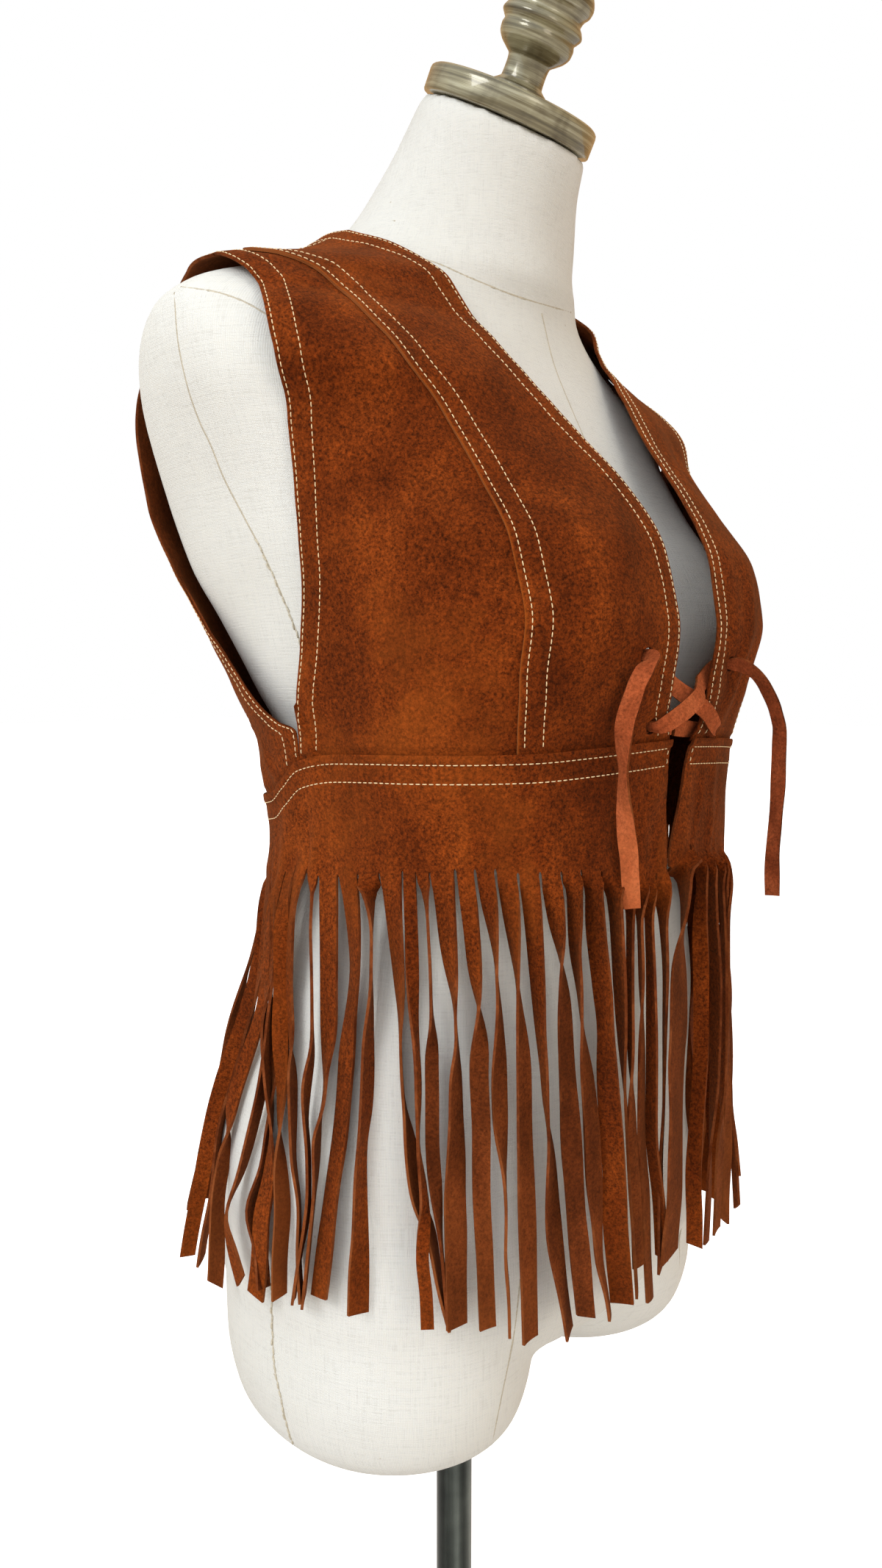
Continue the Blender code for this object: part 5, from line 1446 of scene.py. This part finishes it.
def hidden_strand(phi_a, phi_b, la, lb, pa, pb, seed, spec=None):
    """A strand where the picture doesn't reach: it hangs on the surface and turns as its neighbours do."""
    rng = np.random.default_rng(seed)
    spec = spec or {}
    width = np.linalg.norm(pb - pa)
    z0 = z_of((la + lb) / 2)
    z1 = FRINGE_END + spec.get("longer", rng.uniform(-5.0, 7.0)) * -1
    z = z0 + (z1 - z0) * DOWN
    s = z0 - z
    level = np.clip(level_of(np.maximum(z, -180)), 1.0, 21)
    phi0 = (phi_a + phi_b) / 2
    below = np.minimum(z + 180, 0)
    f = s / s[-1]
    waves = rng.uniform(1.4, 2.6)
    drift = rng.uniform(0.8, 2.6) * np.sin(2 * math.pi * waves * f + rng.uniform(0, 6.28)) * ease(f, 0.05, 0.4)
    drift = drift + spec.get("drift", rng.uniform(-3.0, 3.0)) * f**1.4
    out = rng.uniform(0.8, 2.4) * np.sin(2 * math.pi * rng.uniform(1.2, 2.4) * f + rng.uniform(0, 6.28)) * ease(f, 0.05, 0.4)
    out = out + spec.get("out", rng.uniform(-0.5, 3.5)) * ease(f, 0.05, 0.8)
    kind = spec.get("turn", rng.choice([20, 35, 60, 90, 120, 165, 180, -40, -80, -165], p=[.12, .12, .12, .12, .12, .14, .06, .08, .06, .06]))
    where = rng.uniform(0.22, 0.62)
    twist = kind * ease(f, where - 0.2, where + 0.22) + rng.uniform(8, 24) * np.sin(2 * math.pi * rng.uniform(0.8, 1.7) * f + rng.uniform(0, 6.28)) * ease(f, 0.03, 0.3)
    twist = np.radians(twist)
    phi = np.radians(phi0) * np.ones(len(s))
    p0 = vest_point(level, phi)
    tang = unit(vest_point(level, phi + 0.01) - p0)
    nor = vest_normal(level, phi)
    centre = p0 + tang * drift[:, None] + nor * (out - 0.7)[:, None]
    centre[:, 2] += below
    centre = centre + ((pa + pb) / 2 - centre[0]) * (1 - ease(s, 0, 26))[:, None]
    across = np.cos(twist)[:, None] * tang + np.sin(twist)[:, None] * nor
    start = (1 - ease(s, 1, 11))[:, None]
    across = unit(across * (1 - start) + unit(pb - pa) * start)
    curl = rng.uniform(-0.9, 0.9) * ease(s, 8, 50) * (1 + 0.4 * np.sin(s / 17 + rng.uniform(0, 6)))
    taper = 1 + 0.04 * np.sin(s / 31 + rng.uniform(0, 6)) * ease(s, 5, 60) - 0.075 * (1 - np.exp(-s / 0.8))
    return ribbon(centre, across, width, taper, curl, np.ones(len(s)), spec.get("cut", rng.uniform(-3, 3)))


def band_piece(name, nodes, start, end, slits, strands, seed):
    """One cut piece: the band, and below its slits the strands that hang from it.

    start and end give the piece's two edges in degrees at a level; slits holds (fraction
    of the way from start to end, level) of every slit, the two edges included."""
    rng = np.random.default_rng(seed)
    w, lv = (np.array([s[k] for s in slits], float) for k in range(2))
    cols_w = [w[0]]
    cols_l = [lv[0]]
    flute = [0.0]
    puff = rng.uniform(-0.5, 1.3, len(w))
    for k in range(len(w) - 1):
        for m in range(1, 5):
            cols_w.append(w[k] + (w[k + 1] - w[k]) * m / 4)
            cols_l.append(lv[k] + (lv[k + 1] - lv[k]) * m / 4)
            flute.append(puff[k] * math.sin(math.pi * m / 4))
    cols_w, cols_l, flute = np.array(cols_w), np.array(cols_l), np.array(flute)
    n_rest = 15
    grid, tones = [], []

    def angles(level):
        a0 = np.array([start(l) for l in level])
        a1 = np.array([end(l) for l in level])
        return (1 - cols_w) * a0 + cols_w * a1

    a_ref = angles(np.full(len(cols_w), 6.5))
    z_top = z_of(seam_level(fold_angle(a_ref)))
    z_slit = z_of(cols_l)
    for r in range(len(BAND_NEAR) + n_rest):
        if r < len(BAND_NEAR):
            z = z_top - BAND_NEAR[r]
        else:
            f = (r - len(BAND_NEAR) + 1) / n_rest
            z = (z_top - BAND_NEAR[-1]) * (1 - f) + z_slit * f
        level = level_of(z)
        phi = np.radians(angles(level))
        p, n = vest_point(level, phi), vest_normal(level, phi)
        near = ease(-(z - z_slit), -34, 0)
        d = z_top - z
        h = band_height(d, None, flute * near, p, level, phi)
        grid.append(p + n * h[:, None])
        # crests of the flutes near the slits are painted lighter: painted highlight
        tones.append(tone_with_painted_light_at(p, level, np.degrees(phi)) + 0.10 * near * (flute > 0) * flute)
    grid, tones = np.array(grid), np.array(tones)
    rows, cols = grid.shape[:2]
    verts = [grid.reshape(-1, 3)]
    tone = [tones.ravel()]
    faces = [grid_faces(rows, cols)[:, ::-1]]
    count = rows * cols
    last = grid[-1]
    phis = angles(cols_l)
    for k in range(len(w) - 1):
        top = last[4 * k:4 * k + 5]
        spec = strands[k] if k < len(strands) else None
        if spec is not None and "keys" in spec:
            p = seen_strand(spec, top[0], top[4], seed * 100 + k)
        else:
            p = hidden_strand(phis[4 * k], phis[4 * k + 4], cols_l[4 * k], cols_l[4 * k + 4], top[0], top[4], seed * 100 + k, spec)
        s = np.linalg.norm(p[:, 2] - p[0, 2], axis=1)
        p = p + (top - p[0])[None] * (1 - ease(s, 0, 20))[:, None, None]
        mid_line = p[:, 2:3]
        gap = 1 - 0.07 * (1 - np.exp(-s / 0.7)) * (1 - ease(s, 0, 20))
        p = mid_line + (p - mid_line) * gap[:, None, None]
        shade = 0.38 + rng.uniform(-0.15, 0.17) + (spec or {}).get("tone", 0.0)
        far = ease(s, 10, 70)[:, None]
        t = tones[-1][4 * k:4 * k + 5][None] * (1 - far) + far * (shade + 0.17 * ease(s, 90, 230)[:, None])
        t = t + 0.05 * ripple(p, 24.0, seed + k, 2) + 0.06 * np.abs(np.linspace(-1, 1, 5))[None] ** 3
        verts.append(p[1:].reshape(-1, 3))
        tone.append(np.broadcast_to(t, p.shape[:2])[1:].ravel())
        idx = np.concatenate([[(rows - 1) * cols + 4 * k + np.arange(5)], count + np.arange(FRINGE_ROWS * 5).reshape(-1, 5)])
        a, b, c, d = idx[:-1, :-1], idx[:-1, 1:], idx[1:, 1:], idx[1:, :-1]
        faces.append(np.stack([a, d, c, b], -1).reshape(-1, 4))
        count += FRINGE_ROWS * 5
    ob = mesh_object(name, np.concatenate(verts), np.concatenate(faces), SHEET_MATS, tone=np.concatenate(tone))
    wall(ob, even=False)
    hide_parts(*nodes)
    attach(ob, "root")
    MADE[name] = ob
    # two rows of stitches along the top
    fine = np.linspace(0, 1, 260)
    out = []
    for d in (3.0, 12.0):
        a = np.array([start(6.9) + (end(6.9) - start(6.9)) * f for f in fine])
        z = z_of(seam_level(fold_angle(a))) - d
        level = level_of(z)
        a = np.array([start(l) + (end(l) - start(l)) * f for l, f in zip(level, fine)])
        phi = np.radians(a)
        p, n = vest_point(level, phi), vest_normal(level, phi)
        h = band_height(np.full(len(fine), d), None, 0.0, p, level, phi)
        out.append((p + n * h[:, None], n))
    return ob, out


def edge_of(word):
    return lambda level: float(smooth(FRONT_BAND["level"], FRONT_BAND[word], level))


right_edge, left_edge = edge_of("right"), edge_of("left")
SEAM_AT = SIDE_SEAM_ANGLE - 0.01


def even_slits(start, end, pitch, seed, level_of_slit):
    """Slits about a strip's width apart, with the small unevenness of hand cutting."""
    rng = np.random.default_rng(seed)
    a = np.linspace(start, end, 400)
    p = vest_point(level_of_slit(a), np.radians(a))
    s = np.concatenate([[0], np.cumsum(np.linalg.norm(np.diff(p, axis=0), axis=1))])
    count = int(round(s[-1] / pitch))
    step = np.ones(count) + rng.uniform(-0.18, 0.18, count)
    at = np.concatenate([[0], np.cumsum(step)]) / step.sum() * s[-1]
    where = np.interp(at, s, a)
    jag = rng.uniform(-0.06, 0.06, len(where))
    return [((x - start) / (end - start), float(level_of_slit(x)) + j) for x, j in zip(where, jag)]


# near front: the slits stand where the picture shows them
near = []
for x, y in NEAR_SLITS:
    _, level, phi = look(x, y, 5.4, 6.4)
    near.append((math.degrees(phi), level))
edge_at = -right_edge(5.9)
on_front = [((a + SEAM_AT) / (edge_at + SEAM_AT), l) for a, l in near]
past = sum(f < 0.02 for f, l in on_front)
near_slits = [(0.0, float(slit_level(SEAM_AT)))] + on_front[past:] + [(1.0, float(slit_level(2.9)))]
near_strands = NEAR_STRANDS[past - 1:] if past else [None] + NEAR_STRANDS
ob, rows_r = band_piece("vest_skirt_front_right", ["vest_band_front_right", "vest_fringe_front_right"],
                        lambda l: -SEAM_AT, lambda l: -right_edge(l), near_slits, near_strands, 31)
far_slits = even_slits(left_edge(5.9), SEAM_AT, 9.8, 41, lambda a: slit_level(fold_angle(a)))
far_slits.pop(1)
far_slits[1] = (far_slits[1][0], far_slits[1][1] + 0.18)
far_rest = [dict(out=-5.0 - 1.5 * (k % 3), drift=-2.0 + 1.3 * (k % 4)) for k in range(len(far_slits))]
ob, rows_l = band_piece("vest_skirt_front_left", ["vest_band_front_left", "vest_fringe_front_left"],
                        lambda l: left_edge(l), lambda l: SEAM_AT, far_slits,
                        FAR_STRANDS + far_rest[:len(far_slits) - 1 - len(FAR_STRANDS)], 41)
back_start, back_end = SIDE_SEAM_ANGLE + 0.01, 360 - SIDE_SEAM_ANGLE - 0.01
by_seam = BACK_STRANDS + NEAR_STRANDS[:max(past - 1, 0)]
back_slits = even_slits(back_start, back_end, 10.0, 51, lambda a: slit_level(fold_angle(a)))
ob, rows_b = band_piece("vest_skirt_back", ["vest_band_back", "vest_fringe_back"],
                        lambda l: back_start, lambda l: back_end, back_slits,
                        [None] * (len(back_slits) - 1 - len(by_seam)) + by_seam, 51)


def upright(edge, side):
    """The short row that joins the two along a front edge of the band."""
    z = z_of(seam_level(np.array([3.0]))) - np.linspace(3.0, 12.0, 10)
    level = level_of(z)
    a = np.array([side * edge(l) for l in level]) + side * 2.2 / 2.1
    phi = np.radians(a)
    p, n = vest_point(level, phi), vest_normal(level, phi)
    h = band_height(np.linspace(3, 12, 10), None, 0.0, p, level, phi)
    return p + n * (h + 0.25)[:, None], n


stitch_mesh("vest_skirt_front_right_stitches", [(p[:-4], n[:-4]) for p, n in rows_r] + [upright(right_edge, -1)], THREAD_MAT)
stitch_mesh("vest_skirt_front_left_stitches", [(p[4:], n[4:]) for p, n in rows_l] + [upright(left_edge, 1)], THREAD_MAT)
stitch_mesh("vest_skirt_back_stitches", rows_b, THREAD_MAT)


# ------------------------------------------------------------------ the back
def back_height(d_in, d_out, foot, v, p):
    neck = (v > BACK_NECK_ROW) * hem(np.maximum(d_in, 0))
    return hem(d_out) + neck


halves = [Sheet(BACK, ("centre_angle", "centre_level"), ("arm_angle", "arm_level"), side, back_height, middle=44, rows=200)
          for side in (-1, 1)]
verts, tone, faces, count = [], [], [], 0
seam_idx = []
for sheet in halves:
    p, vv, dd = sheet.grid()
    rows, cols = p.shape[:2]
    joined = vv[:, 0] <= BACK_NECK_ROW + 1e-6
    # the two halves are one hide: they share the centre line up to the neck
    p[joined, 0, 0] = 0.0
    phi, level = sheet.raw(vv, np.array([sheet.fraction(i, dd[i]) for i in range(rows)]))
    t = tone_with_painted_light_at(p, level, np.degrees(phi)) + 0.05 * np.exp(-np.abs(sheet.width[:, None] - dd) / 0.6)
    index = np.arange(count, count + rows * cols).reshape(rows, cols)
    if seam_idx:
        index[joined, 0] = seam_idx[0][joined]
    else:
        seam_idx.append(index[:, 0].copy())
    a, b, c, d = index[:-1, :-1], index[:-1, 1:], index[1:, 1:], index[1:, :-1]
    f = np.stack([a, b, c, d], -1).reshape(-1, 4)
    faces.append(f if sheet.side > 0 else f[:, ::-1])
    verts.append(p.reshape(-1, 3))
    tone.append(t.ravel())
    count += rows * cols
faces = np.concatenate(faces)
verts, tone = np.concatenate(verts), np.concatenate(tone)
used = np.unique(faces)
new = np.full(len(verts), -1)
new[used] = np.arange(len(used))
back = mesh_object("vest_back_hide", verts[used], new[faces], SHEET_MATS, tone=tone[used])
normals = np.array([f.normal for f in back.data.polygons])
mids = np.array([f.center for f in back.data.polygons])
if (normals[:, 1] * (mids[:, 1] > 0.05)).sum() < 0:
    back.data.flip_normals()
wall(back)
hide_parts("vest_back")
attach(back, "root")
MADE["vest_back_hide"] = back
rows = []
neck_rows = {}
for sheet in halves:
    at_neck = int(np.searchsorted(sheet.v, BACK_NECK_ROW)) + 1
    rows += [sheet.line(2.0, outer=True, first=6), sheet.line(12.0, outer=True, first=6)]
    for d in (2.0, 12.0):
        neck_rows.setdefault(d, []).append(sheet.line(d, first=at_neck + 2))
for d, (one, two) in neck_rows.items():
    top = len(halves[0].v) - 1
    row = float(np.interp(z_of(19.7) - d, [z_of(18.8), z_of(19.7)], [13.0, 14.0]))
    mid_p, mid_n = halves[0].place(np.array([row]), np.array([0.0]), np.array([30.0]), np.array([60.0]))
    mid_p[:, 0] = 0
    rows.append((np.concatenate([one[0][::-1], mid_p, two[0]]), np.concatenate([one[1][::-1], mid_n, two[1]])))
# shoulder seams: one row on the back, close to the seam
for sheet in halves:
    u = np.linspace(0.03, 0.97, 40)
    v = np.full(40, len(BACK_ROWS) - 1 - 0.16)
    rows.append(sheet.place(v, u, np.full(40, 30.0), np.full(40, 30.0)))
stitch_mesh("vest_back_stitches", rows, THREAD_MAT)

# ------------------------------------------------------------------ the lace
LACE_LEFT_ROWS = [
    (0.6, -144.6, 109.2), (-12.4, -144.8, 110.0), (-21.8, -145.2, 110.6),
    (-26.0, -146.6, 110.4), (-27.0, -149.0, 110.0), (-27.1, -152.4, 109.7),
    (-24.6, -155.0, 110.6), (-19.0, -156.8, 113.3), (-8.9, -158.6, 118.2),
    (1.3, -158.8, 123.2), (9.7, -156.0, 127.7), (17.8, -152.1, 131.8),
    (29.5, -152.0, 138.3), (37.4, -152.6, 141.4), (40.6, -154.2, 141.7),
    (41.5, -156.6, 141.4), (41.2, -160.4, 141.0), (39.6, -165.0, 140.2),
    (38.2, -171.0, 137.2), (38.4, -178.0, 129.0), (41.0, -182.6, 117.2),
    (43.6, -184.0, 105.8), (43.4, -184.0, 92.5), (43.2, -184.0, 79.0),
    (41.0, -184.0, 59.1), (38.4, -184.0, 39.0), (39.4, -184.0, 20.5),
]
LACE_RIGHT_ROWS = [
    (4.0, -144.5, 108.6), (14.8, -144.1, 107.7), (31.6, -143.6, 106.2),
    (36.6, -144.6, 105.5), (37.7, -146.9, 105.4), (37.9, -150.0, 105.9),
    (34.4, -152.2, 107.6), (27.8, -153.8, 111.2), (17.7, -155.3, 116.8),
    (7.6, -154.0, 122.0), (-1.3, -151.8, 126.4), (-11.5, -151.0, 130.7),
    (-23.0, -151.4, 135.3), (-36.0, -152.0, 141.2), (-43.4, -153.2, 144.0),
    (-45.6, -155.0, 144.6), (-45.9, -157.4, 144.3), (-46.6, -160.4, 143.6),
    (-50.2, -162.4, 141.6), (-57.2, -162.6, 136.6), (-61.6, -161.2, 129.6),
    (-62.4, -156.8, 116.0), (-58.4, -152.8, 102.2), (-54.9, -151.0, 89.7),
    (-53.8, -150.6, 77.3), (-51.6, -150.8, 60.9), (-49.6, -151.6, 45.6),
    (-49.6, -153.5, 22.7),
]
VIEW_RIGHT = CAM_R
VIEW_TOWARD = -CAM_F
# how the strip's width lies along the route, by row of the route: fractions of the
# view's right, toward the viewer, and up; 9 mm wide throughout, folded in at the holes
LACE_LEFT_LIE = [(0, (0.0, 0.1, 1.0)), (4, (-0.3, 0.5, 0.8)), (6, (-0.50, 0.0, 0.85)), (9, (-0.45, 0.0, 0.9)), (12, (-0.4, 0.1, 0.9)),
                 (15, (-0.1, 0.5, 0.9)), (16, (0.1, 0.95, 0.5)), (18, (0.25, 0.97, 0.2)), (20, (0.62, 0.72, 0.05)),
                 (22, (0.80, 0.60, 0.0)), (23, (0.82, 0.57, 0.0)), (24, (0.68, 0.73, 0.0)), (26, (0.90, 0.42, 0.0))]
LACE_RIGHT_LIE = [(0, (0.0, 0.1, 1.0)), (4, (0.3, 0.5, 0.8)), (6, (0.50, 0.0, 0.85)), (9, (0.50, 0.0, 0.85)), (13, (0.4, 0.1, 0.9)),
                  (16, (0.75, 0.3, 0.6)), (18, (0.90, 0.2, 0.35)), (20, (1.0, 0.0, -0.1)), (21, (0.98, 0.15, 0.0)),
                  (22, (0.60, 0.80, 0.0)), (23, (0.30, 0.95, 0.0)), (24, (0.50, 0.86, 0.0)), (25, (0.95, 0.3, 0.0)), (27, (0.99, -0.1, 0.0))]
LACE_WIDTH, LACE_THICK = 9.0, 1.5


def lace(name, node, rows, lie, exit_row):
    p = np.array(rows, float)
    s = np.concatenate([[0], np.cumsum(np.linalg.norm(np.diff(p, axis=0), axis=1))])
    at = np.linspace(0, s[-1], 200)
    c = np.stack([smooth(s, p[:, k], at) for k in range(3)], -1)
    lie_s = np.array([s[r] for r, v in lie])
    lie_v = np.array([v[0] * VIEW_RIGHT + v[1] * VIEW_TOWARD + v[2] * np.array([0, 0, 1.0]) for r, v in lie])
    across = np.stack([smooth(lie_s, lie_v[:, k], at) for k in range(3)], -1)
    t = unit(np.gradient(c, axis=0))
    across = unit(across - (across * t).sum(-1, keepdims=True) * t)
    n = np.cross(t, across)
    # pinched where it passes a hole
    holes = [s[4] + 1.0, s[14] if node == "lace_left" else s[15]]
    w = np.full(len(at), LACE_WIDTH)
    for h in holes:
        w = w * (1 - 0.34 * np.exp(-(((at - h) / 5.0) ** 2)))
    w = w * (1 + 0.03 * np.sin(at / 9.0) + 0.02 * np.sin(at / 3.7))
    if node == "lace_left":
        w = w * (1 - 0.14 * ease(at, 0.52 * at[-1], 0.62 * at[-1]))
    x = np.array([-0.5, -0.485, -0.25, 0.0, 0.25, 0.485, 0.5, 0.485, 0.25, 0.0, -0.25, -0.485])
    y = np.array([0.0, 0.42, 0.5, 0.5, 0.5, 0.42, 0.0, -0.42, -0.5, -0.5, -0.5, -0.42])
    bow = 0.5 * np.sin(at / 23.0) + 0.9 * np.exp(-(((at - holes[0]) / 6.0) ** 2))
    ring = (c[:, None] + across[:, None] * (x[None] * w[:, None])[..., None]
            + n[:, None] * (y[None] * LACE_THICK + bow[:, None] * (0.25 - x[None] ** 2) * 2)[..., None])
    k = len(x)
    faces, slots = [], []
    for i in range(len(at) - 1):
        for j in range(k):
            q, r = i * k + j, i * k + (j + 1) % k
            faces.append((q, q + k, r + k, r))
            slots.append(1 if j in (0, 5, 6, 11) else 0)
    faces += [tuple(range(k)), tuple((len(at) - 1) * k + j for j in range(k - 1, -1, -1))]
    slots += [1, 1]
    tone = 0.5 + 0.07 * ripple(ring, 16.0, 61, 3)
    if node == "lace_right":
        tone = tone + 0.16 * ease(at, 0.72 * at[-1], 0.9 * at[-1])[:, None] - 0.05 * np.exp(-(((at - 0.62 * at[-1]) / 25) ** 2))[:, None]
    else:
        tone = tone - 0.33 * ease(at, 0.50 * at[-1], 0.56 * at[-1])[:, None]
    ob = mesh_object(name, ring.reshape(-1, 3), faces, [LACE_MAT, CUT_MAT], slots=slots, tone=tone.ravel())
    bm = bmesh.new()
    bm.from_mesh(ob.data)
    bmesh.ops.recalc_face_normals(bm, faces=bm.faces)
    bm.to_mesh(ob.data)
    bm.free()
    ob.data.set_sharp_from_angle(angle=math.radians(50))
    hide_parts(node)
    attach(ob, "root")
    return ob


lace("lace_strip_left", "lace_left", LACE_LEFT_ROWS, LACE_LEFT_LIE, 4)
lace("lace_strip_right", "lace_right", LACE_RIGHT_ROWS, LACE_RIGHT_LIE, 4)

# ------------------------------------------------------------- floor and light
bpy.ops.mesh.primitive_plane_add(size=40, location=(0, 0, 0))
floor = bpy.context.object
floor.name = "floor"
m, nt, b = nodes_of("floor")
b.inputs["Base Color"].default_value = (0.80, 0.79, 0.78, 1)
b.inputs["Roughness"].default_value = 0.95
b.inputs["Specular IOR Level"].default_value = 0.1
b.inputs["Emission Color"].default_value = (1, 1, 1, 1)
direct = add(nt, "ShaderNodeLightPath").outputs["Is Camera Ray"]
nt.links.new(direct, b.inputs["Emission Strength"])
floor.data.materials.append(m)
floor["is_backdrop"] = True

# a white studio: the backdrop shows white, and the walls give a cool light from the
# upper left and a dim warm one from the right
w = bpy.data.worlds.new("studio")
bpy.context.scene.world = w
w.use_nodes = True
nt = w.node_tree
toward = add(nt, "ShaderNodeTexCoord").outputs["Generated"]
dot = add(nt, "ShaderNodeVectorMath", operation="DOT_PRODUCT")
dot.inputs[1].default_value = tuple(unit(np.array([-0.80, -0.25, 0.50])))
nt.links.new(toward, dot.inputs[0])
half = add(nt, "ShaderNodeMath", operation="MULTIPLY_ADD", in_1=0.5, in_2=0.5)
nt.links.new(dot.outputs["Value"], half.inputs[0])
walls = ramp(nt, half.outputs[0], [(0.0, (0.52, 0.27, 0.10)), (0.35, (0.59, 0.37, 0.18)), (0.60, (0.67, 0.565, 0.43)),
                                   (0.82, (0.92, 0.97, 1.02)), (1.0, (1.14, 1.23, 1.31))])
direct = add(nt, "ShaderNodeLightPath").outputs["Is Camera Ray"]
seen = blend(nt, "MIX", direct, walls, (1.0, 1.0, 1.0))
nt.links.new(seen, nt.nodes["Background"].inputs["Color"])
nt.nodes["Background"].inputs["Strength"].default_value = 1.0


def area_light(name, at, to, size, power, colour=(1, 1, 1), size_y=None):
    d = bpy.data.lights.new(name, "AREA")
    d.shape = "RECTANGLE"
    d.size = size
    d.size_y = size_y or size
    d.energy = power
    d.color = colour
    o = bpy.data.objects.new(name, d)
    bpy.context.scene.collection.objects.link(o)
    o.location = at
    o.rotation_mode = "QUATERNION"
    o.rotation_quaternion = (Vector(to) - Vector(at)).to_track_quat("-Z", "Y")
    return o


area_light("key", (-2.0, -0.1, 2.0), (0, 0, 0.75), 0.9, 20, (0.97, 1.0, 1.03))
area_light("front_window", (-0.7, -2.3, 1.5), (0, 0, 0.7), 0.8, 8, (1.0, 0.90, 0.78), 1.4)
scene = bpy.context.scene
scene.view_settings.view_transform = "Standard"
scene.view_settings.look = "None"
scene.view_settings.exposure = 0.0
scene.view_settings.gamma = 1.0
bpy.context.view_layer.update()

for n, o in frame["nodes"].items():
    if not o.hide_render:
        print("CAD node still showing:", n)
total = sum(sum(len(p.vertices) - 2 for p in o.data.polygons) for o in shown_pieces() if o.type == "MESH")
for o in sorted(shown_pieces(), key=lambda o: -len(o.data.polygons))[:6]:
    print(o.name, sum(len(p.vertices) - 2 for p in o.data.polygons))
print("triangles", total)
